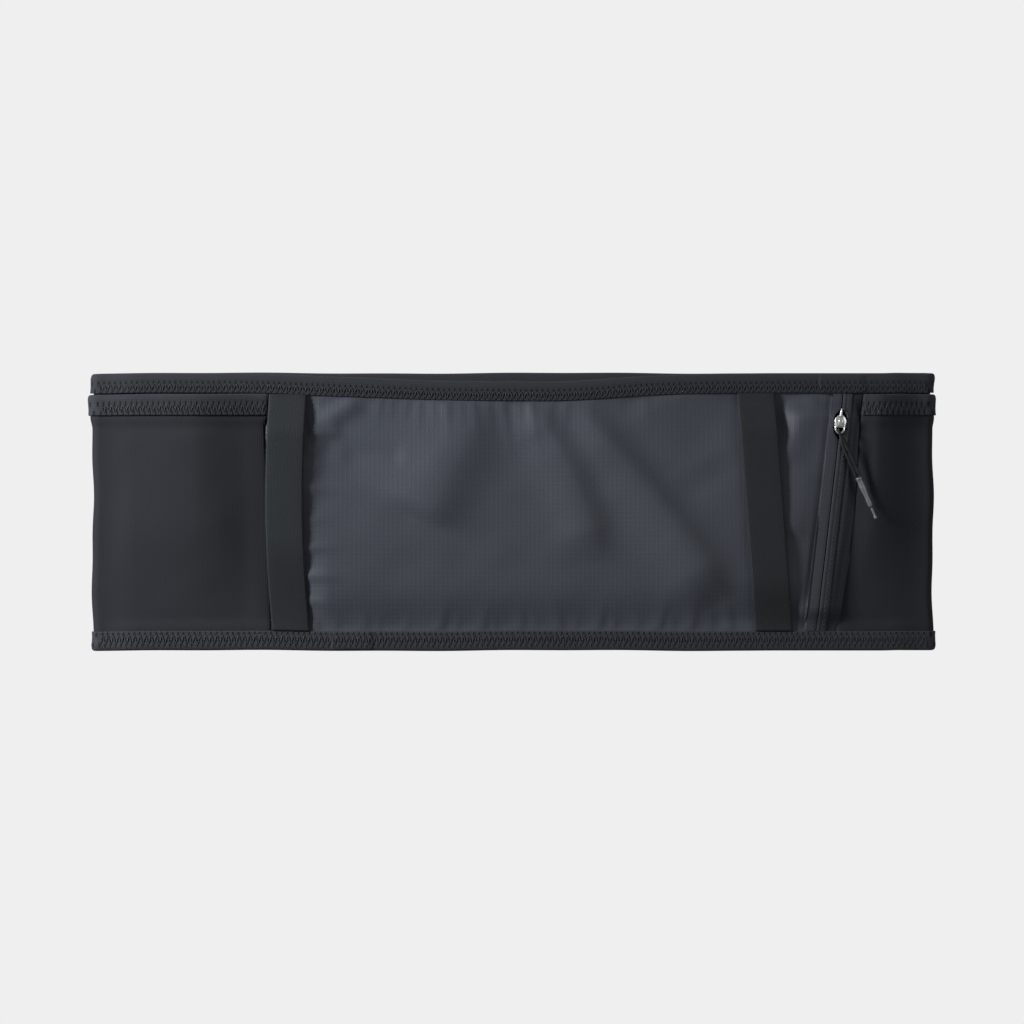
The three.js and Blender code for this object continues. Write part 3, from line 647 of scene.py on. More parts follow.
def panel_relief(x, y):
    relief = crumple(x, y, 0.12)
    for line, height, before, after in LONG_FOLDS:
        relief += soft_ridge(x, y, line, height, before, after)
    from_top = front_top_y(x) - BINDING_WIDTH - y
    from_hem = y - HEM_EDGE_Y
    from_bar = x + 91
    relief = tucked(relief, x, TOP_TUCKS, from_top, 0.16, 1, 1.6, 0, 1)
    relief = tucked(relief, x, LOW_TUCKS, from_hem, 0.22, 1.7, 1.5, 1, 0.7)
    for middle, height, width, reach in SIDE_TUCKS:
        lean = middle + np.maximum(0, from_bar) * 0.12 * np.sin(middle)
        relief += height * np.exp(-((y - lean) / width) ** 2) * np.exp(-(from_bar / reach) ** 2)
    # it sinks beside the zip's folded edge
    groove = -0.9 * np.exp(-((x - zip_x(y) + 5.3) / 1.3) ** 2)
    groove -= 1.2 * np.exp(-((x - zip_x(y) + 5.5) / 6) ** 2) * ease((8 - y) / 30) * ease((y + 50) / 20)
    near_bindings = ease((from_top + 1) / 3.5) * ease((from_hem + 1) / 3.5)
    near_seam = ease((x - LEFT_SEAM_X) / 9)
    near_zip = ease((zip_x(y) - SLOT_LEFT - x) / 9)
    high = mix(0.35, 4, ease((x + 90) / 5) * (1 - ease((right_bar_side(x, y) + 3) / 3)))
    shape = np.minimum(relief - 0.45, high)
    return shape * near_bindings * near_seam * near_zip + groove * near_bindings


def right_bar_x(y):
    return mix(114.4, 106.4, np.clip((y + 52) / 102, 0, 1))


def right_bar_side(x, y):
    """How far inside the right bar's strip a point lies; below zero outside it."""
    return 8.2 - np.abs(x - right_bar_x(y))


def ripstop_finish(name, colour):
    """Plain weave with a thicker thread every two millimetres both ways, and a slight sheen."""
    finish, tree, shader = rough_finish(name, colour, 0.55)
    laid = pattern_space(tree, "UV")
    grid = (worked(tree, "POWER", ribs(tree, laid, 2.0, way), 9.0) for way in ("X", "Y"))
    cords = worked(tree, "MAXIMUM", *grid)
    warp, weft = (ribs(tree, laid, 0.34, way) for way in ("X", "Y"))
    slub = speckle(tree, pattern_space(tree, "UV", (0.25, 1, 1)), 900, 2, 0.5)
    cloudy = speckle(tree, pattern_space(tree, "Object"), 22, 2, 0.5)
    height = summed(tree, (cords, 1), (warp, 0.16), (weft, 0.16), (slub, 0.35))
    tone = summed(tree, (cords, 0.2), (cloudy, 0.8))
    shaded(tree, shader, tone, tinted(colour, 0.84), tinted(colour, 1.2))
    bumped(tree, shader, height, 0.05, 0.7)
    return finish


WOVEN_GREY = (0.063, 0.071, 0.090)
woven = ripstop_finish("ripstop", WOVEN_GREY)


def panel_rows(s, v):
    y = mix(-59.75, front_top_y(mix(LEFT_SEAM_X, ZIP_X, s)) - 1.15, v)
    x = mix(LEFT_SEAM_X - SEAM_TUCK, zip_x(y) - SLOT_LEFT, s)
    return x, y


def panel_place(s, v):
    x, y = panel_rows(s, v)
    return x, y, slack_z(x, y) + panel_relief(x, y)


def slack_z(x, y):
    """Between the bars the panel hangs slack: it drops steeply to the hem and gently to the top."""
    run = np.where(x < 0, LEFT_BAR_RUN, RIGHT_BAR_RUN)
    ends = ease((y - HEM_EDGE_Y) / run) * ease((front_top_y(x) - BINDING_WIDTH - y) / 30)
    soft = front_wall_z(x, y) + LAID_ON + POCKET_LOFT * ends * seam_pinch(x, y)
    base = mix(soft, panel_z(x, y), ease((x - right_bar_x(y) - 7.5) / 11))
    between = ease((x + 95) / 15) * ease((105 - x) / 30)
    from_hem = np.maximum(0, y - HEM_EDGE_Y)
    rise = 4.3 * (1 - np.exp(-(from_hem / 12) ** 2)) * (1 - 0.94 * ease((y + 22) / 74))
    tucked = 0.7 * ease((left_seam_x(y) + 1.6 - x) / 1.4)
    return mix(base, 9.75 + rise, between) - tucked


front_panel = bent_cloth(
    "woven_front_panel", steps(0, 1, 1 / 246), np.linspace(0, 1, 121), panel_place,
    lambda s, v: (panel_rows(s, v)[0] + 108, panel_rows(s, v)[1] + 61), PANEL_THICK, woven,
)
placed(front_panel, "belt", "ripstop", "front_panel")

# ---------- Zip facing ----------
# A strip of the same woven cloth, lying doubled, between the zip and the right knit panel. It is coloured
# much darker than the panel: painted shade, for the shade it lies in beside the seam. Its zigzag
# stitching holds the zip's tape.
SLOT_RIGHT = 3.0
FACING_SHADED_GREY = (0.0235, 0.0265, 0.0360)
shaded_facing_finish = ripstop_finish("facing", FACING_SHADED_GREY)


def facing_place(m, v):
    y = mix(-59.75, front_top_y(np.array(ZIP_X)) - 1.15, v)
    seam = seen_seam_x(y) - zip_x(y)
    n = mix(SLOT_RIGHT, seam + SEAM_TUCK, m)
    x = zip_x(y) + n
    drop = 1 - 0.42 * (1 - ease((seam - n) / 5))
    loft = POCKET_LOFT * hem_loft(y) * top_loft(x, y) * drop
    bulge = 0.3 * np.exp(-((n - 6.2) / 1.2) ** 2) * hem_loft(y) * top_loft(x, y)
    tucked = 0.15 + 0.6 * ease((n - seam + 0.5) / 0.9)
    return x, y, front_wall_z(x, y) + LAID_ON + loft + bulge - tucked


facing = bent_cloth(
    "zip_facing_cloth", np.linspace(0, 1, 21), np.linspace(0, 1, 101),
    facing_place, lambda m, v: (m * 8, v * 119), PANEL_THICK, shaded_facing_finish,
)
placed(facing, "belt", "facing", "zip_facing")

# ---------- Fold-over bindings ----------
# Soft knitted elastic binding, folded over each raw edge and sewn through with a zigzag. The
# same binding edges the belt's top and bottom and the mouths of the side pockets.
BINDING_THICK = 0.5
EDGE_SPREAD = 1.2               # of its two legs, about the middle of what it holds
MOUTH_SPREAD = 0.86
STITCH_PITCH = 2.4
STITCH_START = 1.6              # along the round, from its start to the first needle hole
STITCH_LIFT = 0.22              # of a thread's crest over the cloth's face
TO_FACE = 0.25                  # from the middle of a binding's thickness to its face
BINDING_GREY = (0.0340, 0.0380, 0.0480)
TOP_LAP = (134.2, 154.6)        # where a binding's two ends lap over each other
HEM_LAP = (-79.5, -61.0)


def binding_section(v, edge_y, width, spread, up):
    """v runs from the outer leg's edge, 0, over the fold to the inner leg's edge, 3."""
    bend_y = edge_y - up * (BINDING_THICK / 2 + spread)
    leg_y = edge_y - up * width
    turn = np.pi * (v - 1)
    y = np.select(
        [v < 1, v > 2], [mix(leg_y, bend_y, v), mix(bend_y, leg_y, v - 2)],
        bend_y + up * spread * np.sin(turn),
    )
    out = np.select([v < 1, v > 2], [spread, -spread], spread * np.cos(turn))
    # the outer leg is dimpled along its stitching and full between it and the fold
    full = 0.16 * np.sin(np.pi * np.clip((v - 0.62) / 0.6, 0, 1))
    dimple = 0.10 * np.exp(-((v - 0.3) / 0.2) ** 2)
    return y, out + np.where(v < 1, full - dimple, 0)


def needle_holes_and_shade(tree, low_row, high_row):
    """Where a zigzag's needle went in, at alternate points of two rows along the map: dents for the bump,
    and painted shade that darkens the colour in them.
    """
    coordinates = node_set(tree, "TexCoord")
    parts = node_set(tree, "SeparateXYZ")
    tree.links.new(coordinates.outputs["UV"], parts.inputs[0])
    turns = worked(tree, "MULTIPLY", parts.outputs[0], 2 * math.pi / (STITCH_PITCH * MM))
    started = worked(tree, "SUBTRACT", turns, 2 * math.pi * STITCH_START / STITCH_PITCH)
    swing = worked(tree, "COSINE", started, 0)
    pits_and_shade = []
    for row, sign in ((high_row, 1), (low_row, -1)):
        raised = worked(tree, "MAXIMUM", worked(tree, "MULTIPLY", swing, sign), 0)
        point = worked(tree, "POWER", raised, 2.5)
        off = worked(tree, "DIVIDE", worked(tree, "SUBTRACT", parts.outputs[1], row * MM), 0.95 * MM)
        squared = worked(tree, "MULTIPLY", worked(tree, "MULTIPLY", off, off), -1)
        near = worked(tree, "EXPONENT", squared, 0)
        pits_and_shade.append(worked(tree, "MULTIPLY", point, near))
    return worked(tree, "ADD", *pits_and_shade)


def binding_finish(name, share, low_row, high_row):
    """Close knitted elastic with short slanting threads, drawn down round each needle hole."""
    colour = tinted(BINDING_GREY, share)
    finish, tree, shader = rough_finish(name, colour, 0.85, 0.05)
    laid = pattern_space(tree, "UV")
    slant = ribs(tree, pattern_space(tree, "UV", turn=0.6), 0.75)
    fuzz = speckle(tree, laid, 1500, 3, 0.7)
    pits_and_shade = needle_holes_and_shade(tree, low_row, high_row)
    height = summed(tree, (slant, 1), (ribs(tree, laid, 0.8, "Y"), 0.7), (fuzz, 1.6))
    # the colour follows the knit's height, and the needle holes are painted much darker: painted shade in
    # the holes
    tone = summed(tree, (height, 0.33), (pits_and_shade, -1.8))
    shaded(tree, shader, tone, tinted(colour, 0.22), tinted(colour, 1.55))
    bumped(tree, shader, summed(tree, (height, 1), (pits_and_shade, -3)), 0.10, 0.8)
    return finish


# one binding in three copies, the hem's painted 1.28 times and the mouths' 1.14 times as bright as the
# top's: painted light and shade
top_finish = binding_finish("binding", 1, 0.96, 4.64)
hem_finish = binding_finish("hem_binding", 1.28, 1.6, 6.8)
mouth_finish = binding_finish("mouth_binding", 1.14, 1.0, 5.2)
SECTION_ROWS = np.concatenate([
    steps(0, 1, 0.09), 1 + np.linspace(0, 1, 9)[1:], 2 + steps(0, 1, 0.25)[1:],
])


def edge_place(edge, width, up, spread=EDGE_SPREAD):
    def place(u, v):
        y, out = binding_section(v, edge(u), width, spread, up)
        first, last = TOP_LAP if up > 0 else HEM_LAP
        x = front_x(u)
        lap = ease((x - first) / 0.5) * ease((last - x) / 0.5) * is_front(u) * (v < 1.2)
        return round_wall(u, y, LAID_ON / 2 + out + 0.38 * lap)
    return place


top_place = edge_place(top_edge_y, BINDING_WIDTH, 1)
hem_place = edge_place(lambda u: np.full_like(u, -TOP_Y), 8.5, -1)
lap_columns = front_u(np.array([x + d for x in TOP_LAP + HEM_LAP for d in (-0.1, 0.15, 0.35, 0.6)]))
band_columns = np.unique(np.round(np.concatenate([round_columns(2), lap_columns]), 7))
for name, place, node, finish in (
    ("top_binding_band", top_place, "top_binding", top_finish),
    ("bottom_binding_band", hem_place, "bottom_binding", hem_finish),
):
    band = bent_cloth(
        name, band_columns, SECTION_ROWS, place,
        lambda u, v: (along_round(u), v * 8), BINDING_THICK, finish, joined=True,
    )
    placed(band, "belt", "binding", node)


def mouth_place(w, v):
    y, out = binding_section(v, MOUTH_TOP_Y, MOUTH_WIDTH, MOUTH_SPREAD, 1)
    return wrap_place(w, y, out, relief=False)


def mouth_map(w, v):
    return along_round(wrap_u(w, np.full_like(w, 47.0))), v * 8.6


for part, columns in WRAP_COLUMNS.items():
    band = bent_cloth(
        f"mouth_binding_band_{part}", columns, SECTION_ROWS, mouth_place, mouth_map,
        BINDING_THICK, mouth_finish,
    )
    placed(band, "belt", "binding", f"mouth_binding_{part}")

# ---------- Elastic bars ----------
# Two straps of sixteen-millimetre woven elastic, free along their length over the front panel and
# sewn in at both bindings.
BAR_THICK = 0.8
BAR_WIDTH = 16.4
BAR_GREY = (0.0192, 0.0232, 0.0268)
elastic, tree, shader = rough_finish("elastic", BAR_GREY, 0.75)
laid = pattern_space(tree, "UV")
grain = speckle(tree, pattern_space(tree, "UV", (1, 0.25, 1)), 1500, 2)
height = summed(tree, (ribs(tree, laid, 0.62), 1), (ribs(tree, laid, 1.05, "Y"), 0.8), (grain, 0.6))
tone = worked(tree, "MULTIPLY", height, 0.42)
shaded(tree, shader, tone, tinted(BAR_GREY, 0.72), tinted(BAR_GREY, 1.3))
bumped(tree, shader, height, 0.07, 0.5)


def bar_place(low_x, high_x, bow, run):
    low_y = HEM_EDGE_Y + 0.02
    high_y = front_top_y(np.array((low_x + high_x) / 2)) - BINDING_WIDTH - 0.02

    def place(n, v):
        y = mix(low_y, high_y, v)
        middle = mix(low_x, high_x, v) + bow * np.sin(np.pi * v)
        ends = ease((y - low_y) / run) * ease((high_y - y) / 18)
        z = 10.0 + 4.8 * ends + 0.45 + BAR_THICK / 2
        curl = -0.18 * (np.abs(n) / 8.2) ** 6
        ripple = 0.06 * np.sin(y / 3.7 + n / 9) + 0.05 * np.sin(y / 9 + n / 4)
        return middle + n, y, z + curl + ripple
    return place


for side, low_x, high_x, bow, run in (
    ("left", -97.2, -98.5, -2.0, LEFT_BAR_RUN), ("right", 114.4, 106.4, 0, RIGHT_BAR_RUN),
):
    bar = bent_cloth(
        f"elastic_bar_{side}", np.linspace(-BAR_WIDTH / 2, BAR_WIDTH / 2, 21), np.linspace(0, 1, 101),
        bar_place(low_x, high_x, bow, run), lambda n, v: (n + 9, v * 103), BAR_THICK, elastic,
    )
    placed(bar, "belt", "elastic", f"bar_{side}")

# ---------- Zigzag stitching ----------
# Corespun polyester thread. Each leg of a zigzag dives into a needle hole at both ends and
# stands a little proud of the cloth between them.
THREAD = 0.4
STITCH_GREY = (0.036, 0.039, 0.047)
stitch_finish, tree, shader = rough_finish("stitching", STITCH_GREY, 0.6, 0.2)
twist = ribs(tree, pattern_space(tree, "Object", turn=0.7), 0.34907, "DIAGONAL")
shaded(tree, shader, twist, tinted(STITCH_GREY, 0.7), tinted(STITCH_GREY, 1.3))
bumped(tree, shader, twist, 0.05)


def final_mesh(piece):
    """Works a piece's curve or modifiers into a plain mesh object of the same name."""
    shape = bpy.data.meshes.new_from_object(piece.evaluated_get(bpy.context.evaluated_depsgraph_get()))
    name, finish = piece.name, piece.data.materials[0]
    bpy.data.objects.remove(piece)
    shape.set_sharp_from_angle(angle=math.radians(50))
    shape.name = name
    if not shape.materials:
        shape.materials.append(finish)
    return linked(name, shape)


def threads(name, runs, width, finish, sides=1):
    """Round threads along runs of points, as one mesh."""
    line = bpy.data.curves.new(name, "CURVE")
    line.dimensions = "3D"
    line.bevel_depth = width / 2 * MM
    line.bevel_resolution = sides
    for run in runs:
        points = np.column_stack((np.asarray(run) * MM, np.ones(len(run))))
        thread = line.splines.new("POLY")
        thread.points.add(len(run) - 1)
        thread.points.foreach_set("co", points.ravel())
        thread.use_smooth = True
    line.materials.append(finish)
    return final_mesh(linked(name, line))


def zigzag(place, first, last, pitch_share, low, high, lift):
    """Points of a zigzag between rows low and high of place(u, v), lifted to stand on it."""
    count = int(round(abs(last - first) / pitch_share)) * 2
    leg = np.array([0.0, 0.12, 0.5, 0.88])
    proud = np.array([-0.5, 0.55, 1.0, 0.55])
    at = (np.arange(count)[:, None] + leg).ravel()
    at = np.append(at, count)
    rise = np.append(np.tile(proud, count), -0.5) * lift
    swing = np.abs(np.mod(at, 2) - 1)
    u = mix(first, last, at / count)
    return place(u, mix(low, high, swing), rise)


def lifted(place):
    """The same surface, pushed out along Z on the front and on the back by a lift."""
    def put(u, v, rise):
        x, y, z = settled(*place(u, v))
        lap = np.mod(u, 4)
        bends = [np.pi, np.pi * (2 - lap), 0]
        turn = np.select([lap < 1, lap < 2, lap < 3], bends, np.pi * (lap - 3))
        side = np.where(lap < 2, 1, -1)
        out = rise + TO_FACE
        return np.column_stack((x + side * np.sin(turn) * out, y, z + np.cos(turn) * out))
    return put


share = STITCH_PITCH / (2 * STRAIGHT_HALF)


def band_stitching(name, place, low, high):
    """A long binding's zigzag, along the front and then along the back."""
    return threads(name, [
        zigzag(lifted(place), first, last, share, low, high, STITCH_LIFT)
        for first, last in ((2, 3), (STITCH_START / (2 * STRAIGHT_HALF), 1))
    ], THREAD, stitch_finish)


top_stitching = band_stitching("top_binding_stitching", top_place, 0.12, 0.58)
hem_stitching = band_stitching("bottom_binding_stitching", hem_place, 0.2, 0.85)


def mouth_lifted(w, v, rise):
    x, y, z = settled(*mouth_place(w, v))
    on_front = (w < 1) | (w > 4)
    return np.column_stack((x, y, z + np.where(on_front, 1, -1) * (rise + TO_FACE)))


# the left mouth is 73.6 mm long on the front, and the right one 28.5 mm
mouth_runs = [
    zigzag(mouth_lifted, first, last, each, 0.12, 0.6, STITCH_LIFT) for first, last, each in (
        (0.02, 0.985, STITCH_PITCH / 73.6), (2.01, 2.99, share), (4.02, 4.96, STITCH_PITCH / 28.5),
    )
]
mouth_stitching = threads("mouth_binding_stitching", mouth_runs, THREAD, stitch_finish)
for stitching in (top_stitching, hem_stitching, mouth_stitching):
    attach(stitching, "belt")

# ---------- Zip ----------
# A coil zip: two narrow woven tapes, each with a nylon coil sewn to its edge, hidden between two folded
# lips of the panel's cloth. It stands parted above the slider, as a zip does once its slider has come
# down.
zip_top_y = float(front_top_y(np.array(ZIP_X)) - BINDING_WIDTH)
SLIDER_Y = 38.8
ZIP_MIDDLE_Y = (HEM_EDGE_Y + zip_top_y) / 2
LIP_THICK = 0.6
TAPE_INNER, TAPE_WIDTH = 1.6, 3.4
TAPE_END, STOP_LONG = 4, 1.8        # from the slot's end to the tape's, and a stop's length
# the lips are the panel's own cloth, coloured at 0.70 of it: painted shade, which dims the light on their
# crests
shaded_lip_finish = ripstop_finish("zip_lip", tinted(WOVEN_GREY, 0.70))
tape_finish, tree, shader = rough_finish("zip_tape", (0.022, 0.0235, 0.028), 0.85, 0.1)
twill = ribs(tree, pattern_space(tree, "UV", turn=0.8), 0.6)
shaded(tree, shader, twill, (0.018, 0.019, 0.023), (0.028, 0.030, 0.036))
bumped(tree, shader, twill, 0.08)
coil_finish, tree, shader = rough_finish("zip_coil", (0.012, 0.0125, 0.0145), 0.35)
scuffs = speckle(tree, pattern_space(tree, "Object"), 700, 2)
shaded(tree, shader, scuffs, (0.010, 0.0105, 0.012), (0.022, 0.0225, 0.025))
bumped(tree, shader, scuffs, 0.03)


def zip_z(y):
    at = np.full_like(y, ZIP_X)
    return front_wall_z(at, y) + LAID_ON + POCKET_LOFT * hem_loft(y) * top_loft(at, y)


def beside_slider(y):
    return ease((y - SLIDER_Y + 8) / 4.5) * ease((SLIDER_Y + 6.9 - y) / 4.2)


def lip_inner(y):
    """The lips meet, but for a hair's breadth, and keep just clear of the slider's sides."""
    wide = 2.35 + 0.5 * ease((y - SLIDER_Y + 3.5) / 5)
    return 0.28 + (wide - 0.28) * beside_slider(y)


def lip_place(side):
    roll = 0.12 if side < 0 else 0.24
    fall = 0.12 if side < 0 else 0.34
    crest = 1.1 if side < 0 else 0.6
    spread = 1.0 if side < 0 else 0.55

    def place(y, m):
        inner = lip_inner(y)
        n = mix(inner, np.maximum(4.2, inner + 1.3), m)
        across = 3.65 * m
        height = 0.76 + roll * np.exp(-((across - crest) / spread) ** 2)
        height = height - fall * ease((across - 2.3) / 1.3) - 0.22 * beside_slider(y)
        if side > 0:
            height = height - 0.12 * ease((across - 1.1) / 0.3)
        return zip_x(y) + side * n, y, zip_z(y) + height
    return place


def parted_by(y):
    """How far each side of the zip is already open above the slider."""
    return 0.5 * ease((y - SLIDER_Y + 1) / 2.5)


def coil_inner(y):
    return 0.1 + parted_by(y)


def tape_place(side):
    shift = 5.1 / 2 + 0.3 - TAPE_INNER      # past the slider's side, with a gap

    def place(y, m):
        near = beside_slider(y)
        inner = TAPE_INNER + shift * near + parted_by(y) * (1 - near)
        x = zip_x(y) + side * (inner + TAPE_WIDTH * m)
        return x, y, panel_z(x, y) - 0.95
    return place


coil_low = HEM_EDGE_Y + TAPE_END + STOP_LONG + 0.3
coil_high = zip_top_y - TAPE_END - STOP_LONG - 0.3


def coil_run(side, low, high):
    """One nylon filament wound round and round, flattened, along the tape's edge."""
    turns_round = int((high - low) / 0.9)
    turn = np.linspace(0, turns_round, turns_round * 8 + 1)
    y = mix(low, high, turn / turns_round)
    n = coil_inner(y) + 0.6 - 0.42 * np.cos(2 * np.pi * turn)
    z = zip_z(y) - 0.25 + 0.34 * np.sin(2 * np.pi * turn)
    return np.column_stack((zip_x(y) + side * n, y, z))


def zip_point(y):
    return Vector((float(zip_x(y)), y, 13.7)) * MM


def lip_lifted(y, swing, rise):
    x, y, z = settled(*lip_place(1)(y, mix(0.50, 0.86, swing)))
    return np.column_stack((x, y, z + rise + LIP_THICK / 2))


ZIP_HALVES = (
    ("lower", HEM_EDGE_Y + 0.3, ZIP_MIDDLE_Y), ("upper", ZIP_MIDDLE_Y, zip_top_y - 0.3),
)
for word, side in (("left", -1), ("right", 1)):
    for half, low, high in ZIP_HALVES:
        end, parted = (low, low + 10.8) if half == "lower" else (high, ZIP_MIDDLE_Y)
        tape_low = max(low, HEM_EDGE_Y + TAPE_END)
        tape_high = min(high, zip_top_y - TAPE_END)
        lip = final_mesh(bent_cloth(
            f"zip_lip_{word}_{half}", steps(low, high, 0.6), np.linspace(0, 1, 17), lip_place(side),
            lambda y, m: (m * 3.65, y + 61), LIP_THICK, shaded_lip_finish,
        ))
        tape = final_mesh(bent_cloth(
            f"zip_tape_{word}_{half}", steps(tape_low, tape_high, 1.5), np.linspace(0, 1, 5),
            tape_place(side), lambda y, m: (m * TAPE_WIDTH, y + 61), 0.4, tape_finish,
        ))
        coil = threads(
            f"zip_coil_{word}_{half}", [coil_run(side, max(low, coil_low), min(high, coil_high))],
            0.32, coil_finish,
        )
        for piece, slot, node in (
            (lip, "facing", f"lip_{word}"), (tape, "zip_tape", f"zip_tape_{word}"),
            (coil, "zip_coil", f"zip_coil_{word}"),
        ):
            zip_point(end)
            zip_point(parted)
            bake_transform(piece)
            placed(piece, None, slot, node)
        if side > 0:
            row = [low + 1, high] if half == "lower" else [low, 27.0]
            run = zigzag(lip_lifted, *row, 2.0, 0, 1, 0.16)
            stitching = threads(f"zip_lip_stitching_{half}", [run], 0.32, stitch_finish)
            zip_point(end)
            zip_point(parted)
            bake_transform(stitching)

# ---------- Zip stops ----------
# Small clamps of the coil's own nylon, which keep the slider on the zip.
def made(name, shape, finish):
    """One smooth object out of a built shape."""
    mesh = bpy.data.meshes.new(name)
    shape.to_mesh(mesh)
    shape.free()
    mesh.shade_smooth()
    mesh.materials.append(finish)
    return linked(name, mesh)


def rounded(shape, edges, radius, segments=3):
    bmesh.ops.bevel(
        shape, geom=edges, offset=radius, affect="EDGES", segments=segments, profile=0.5, material=-1,
    )


for name in ("top_stop_left", "top_stop_right", "bottom_stop"):
    low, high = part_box(name)
    block = bmesh.new()
    bmesh.ops.create_cube(block, size=1)
    bmesh.ops.scale(block, vec=high - low, verts=block.verts)
    bmesh.ops.translate(block, vec=(low + high) / 2, verts=block.verts)
    rounded(block, block.edges, 0.22 * MM)
    placed(made(name + "_clamp", block, coil_finish), "belt", "zip_stop", name)

# ---------- Slider ----------
# Die-cast zinc, plated bright: two plates with a wedge between them, side flanges, and a raised
# bridge that holds the pull ring. All its edges are rounded by tumbling.
zip_angle = math.atan(ZIP_SLANT)
slider_z = float(zip_z(np.array(SLIDER_Y)))
slider_place = (
    Matrix.Translation((float(zip_x(SLIDER_Y)), SLIDER_Y, slider_z)) @ Matrix.Rotation(-zip_angle, 4, "Z")
)
plating, tree, shader = rough_finish("slider_plating", (0.93, 0.94, 0.95), 0.30)
fill(shader, Metallic=0.8)
handling = speckle(tree, pattern_space(tree, "Object"), 900, 4, 0.7)
shaded(tree, shader, handling, (0.86, 0.87, 0.89), (0.98, 0.98, 0.98))
bumped(tree, shader, handling, 0.012, 0.5)


def prism(shape, outline, way, radius):
    """Raises an outline along X or Z and rounds the edges at both its ends."""
    corners = [shape.verts.new(point) for point in outline]
    raised = bmesh.ops.extrude_face_region(shape, geom=[shape.faces.new(corners)])
    far = [item for item in raised["geom"] if isinstance(item, bmesh.types.BMVert)]
    bmesh.ops.translate(shape, verts=far, vec=way)
    axis = 0 if way[0] else 2
    edges = {edge for vert in corners + far for edge in vert.link_edges}
    ends = [edge for edge in edges if abs(edge.verts[0].co[axis] - edge.verts[1].co[axis]) < 1e-6]
    rounded(shape, ends, radius)


def cast_plate(shape, outline, low, high, round_off, crown=()):
    """A plate of the slider, from its outline: raised, rounded, and crowned in steps."""
    prism(shape, [(x, y, low) for x, y in outline], (0, 0, high - low), round_off)
    bmesh.ops.recalc_face_normals(shape, faces=shape.faces)
    middle = max(shape.faces, key=lambda face: face.calc_center_median().z * 100 + face.calc_area())
    for inset, lift in crown:
        bmesh.ops.inset_individual(
            shape, faces=[middle], thickness=inset, depth=lift, use_even_offset=True,
        )


def slider_outline():
    half, foot, end = 2.55, 2.1, 3.5
    right = [(foot - 0.6, -end), (foot - 0.18, -end + 0.16), (foot, -end + 0.6), (half, 0)]
    right += [(half, 0.8), (half - 0.18, 1.6), (half - 0.6, 2.4), (half - 1.2, 3.05), (half - 1.9, end)]
    left = [(-x, y) for x, y in reversed(right)]
    return right + left


def shaped(name, shape, place, finish):
    """Turns a built shape's faces outwards and puts it in its place in metres, as a smooth object."""
    bmesh.ops.recalc_face_normals(shape, faces=shape.faces)
    bmesh.ops.transform(shape, matrix=Matrix.Scale(MM, 4) @ place, verts=shape.verts)
    return made(name, shape, finish)


body = bmesh.new()
cast_plate(body, slider_outline(), -1.65, -1.05, 0.2)
cast_plate(body, slider_outline(), 0.55, 1.15, 0.26, ((0.4, 0.14), (0.4, 0.08), (0.4, 0.04)))
for side in (-1, 1):
    flange = [(1.7, -2.8), (2.1, -2.8), (2.55, 1.7), (2.15, 1.7)]
    flange = [(side * x, y) for x, y in (flange if side > 0 else flange[::-1])]
    cast_plate(body, flange, -0.65, 1.05, 0.1)
cast_plate(body, [(-0.25, 1.5), (0.25, 1.5), (0.25, 3.4), (-0.25, 3.4)], -1.5, 1.0, 0.08)
nose = bmesh.ops.create_cone(
    body, cap_ends=True, segments=16, radius1=0.72, radius2=0.26, depth=3.4,
    matrix=Matrix.Translation((-0.1, 4.7, 0.85)) @ Matrix.Rotation(-math.pi / 2, 4, "X"),
)
nose_rims = {
    edge for vert in nose["verts"] for edge in vert.link_edges
    if abs(edge.verts[0].co.y - edge.verts[1].co.y) < 1e-4
}
rounded(body, list(nose_rims), 0.12, 2)
slider_body = shaped("slider_casting", body, slider_place, plating)
placed(slider_body, "slider", "slider_metal", "slider_body")

strap = bmesh.new()
bridge_line = [
    (-2.0, 1.2), (-1.95, 1.85), (-1.6, 2.45), (-0.9, 2.76), (0.4, 2.82), (1.6, 2.76), (2.35, 2.4),
    (2.7, 1.8), (2.75, 1.2),
]
outer, inner = [], []
for index, (y, z) in enumerate(bridge_line):
    before = bridge_line[max(0, index - 1)]
    after = bridge_line[min(len(bridge_line) - 1, index + 1)]
    way = Vector((after[0] - before[0], after[1] - before[1])).normalized()
    outer.append((y - way.y * 0.33, z + way.x * 0.33))
    inner.append((y + way.y * 0.33, z - way.x * 0.33))
prism(strap, [(-0.9, y, z) for y, z in outer + inner[::-1]], (1.8, 0, 0), 0.16)
slider_bridge = shaped("slider_bridge_strap", strap, slider_place, plating)
placed(slider_bridge, "slider", "slider_metal", "slider_bridge")

# ---------- Pull ring ----------
# A closed ring of round plated wire, which swings in the slider's bridge.
RING_WIRE = 0.7
ring = bmesh.new()
bmesh.ops.create_circle(ring, cap_ends=False, segments=12, radius=RING_WIRE / 2)
bmesh.ops.rotate(ring, verts=ring.verts, cent=(0, 0, 0), matrix=Matrix.Rotation(math.pi / 2, 3, "X"))
bmesh.ops.translate(ring, verts=ring.verts, vec=(2.0, 0, 0))
bmesh.ops.spin(
    ring, geom=ring.verts[:] + ring.edges[:], cent=(0, 0, 0), axis=(0, 0, 1), dvec=(0, 0, 0),
    angle=2 * math.pi, steps=40, use_merge=True, use_duplicate=False,
)
bmesh.ops.scale(ring, vec=(1, 1.25, 1), verts=ring.verts)
ring_tilt = Matrix.Translation((0, 0.4, 1.8)) @ Matrix.Rotation(math.radians(-8), 4, "X")
ring_place = slider_place @ ring_tilt @ Matrix.Translation((0, -2.5, 0))
pull_ring = shaped("pull_ring_wire", ring, ring_place, plating)
placed(pull_ring, "ring", "slider_metal", "pull_ring")

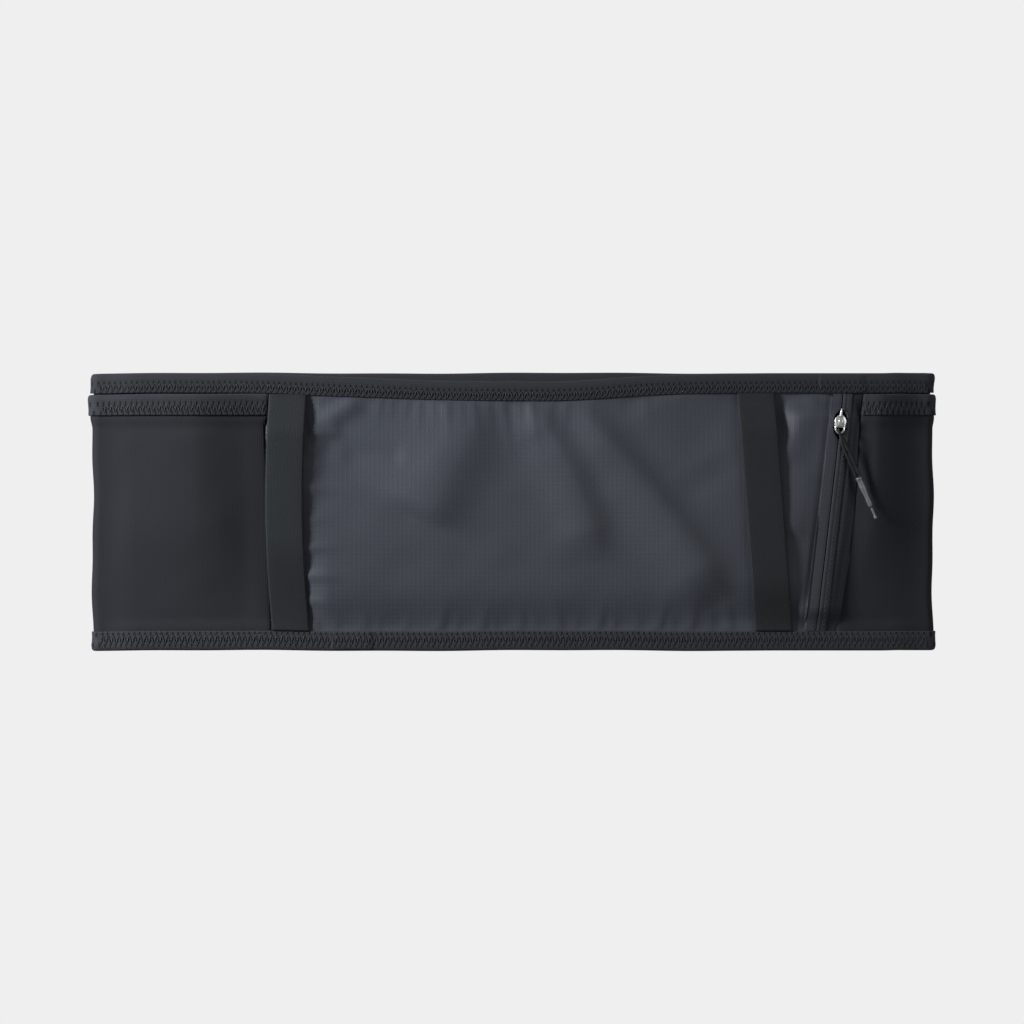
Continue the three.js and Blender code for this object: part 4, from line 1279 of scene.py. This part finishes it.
# ---------- Moulded grip and tail ----------
# The grip is grey plastic moulded over both ends of the cord, with a waist for finger and thumb.
# The cord's tail comes out of it, heat-sealed to a small bead.
GRIP_GREY = (0.170, 0.176, 0.190)
grip_finish, tree, shader = rough_finish("moulded_grip", GRIP_GREY, 0.30)
fill(shader, Coat_Weight=1.0, Coat_Roughness=0.22)
# its colour is mottled from dark to much lighter along it: painted highlights, while the same pattern's
# bump is the moulding's flow
flow_and_highlights = speckle(tree, pattern_space(tree, "Object"), 330, 2, 0.5)
shaded(tree, shader, flow_and_highlights, tinted(GRIP_GREY, 0.45), tinted(GRIP_GREY, 1.7))
bumped(tree, shader, flow_and_highlights, 0.03, 0.6)


def turned(name, profile, start, height, finish, place):
    """A turned shape down the puller from `start`, pressed to `height` of its width."""
    shape = bmesh.new()
    line = [shape.verts.new((radius, -start - along, 0)) for radius, along in profile]
    for first, second in zip(line, line[1:]):
        shape.edges.new((first, second))
    bmesh.ops.spin(
        shape, geom=shape.verts[:] + shape.edges[:], cent=(0, 0, 0), axis=(0, 1, 0), dvec=(0, 0, 0),
        angle=2 * math.pi, steps=28, use_merge=True, use_duplicate=False,
    )
    bmesh.ops.remove_doubles(shape, verts=shape.verts, dist=0.001)
    bmesh.ops.scale(shape, vec=(1, 1, height), verts=shape.verts)
    piece = shaped(name, shape, place @ Matrix.Translation((0, 0, 15.45)), finish)
    smooth = piece.modifiers.new("smooth", "SUBSURF")
    smooth.levels = smooth.render_levels = 1
    return piece


GRIP_PROFILE = [
    (0, 0.02), (0.95, 0.04), (1.36, 0.2), (1.48, 0.6), (1.44, 1.2), (1.2, 1.6), (1.22, 2.3),
    (1.38, 3.6), (1.3, 5.6), (1.02, 8.2), (0.9, 9.6), (1.0, 11.0), (1.12, 12.0), (1.0, 13.3),
    (0.7, 14.0), (0, 14.18),
]
grip = turned("moulded_grip", GRIP_PROFILE, 21, 0.76, grip_finish, puller_place)
placed(grip, "puller", "grip", "pull_grip")
TAIL_PROFILE = [
    (0, 0), (0.5, 0.02), (0.55, 0.4), (0.52, 2.6), (0.52, 3.7), (0.82, 4.2), (0.84, 4.8),
    (0.5, 5.26), (0, 5.3),
]
tail = turned("sealed_tail", TAIL_PROFILE, 35.5, 1, grip_finish, puller_place)
placed(tail, "puller", "grip", "pull_tail")
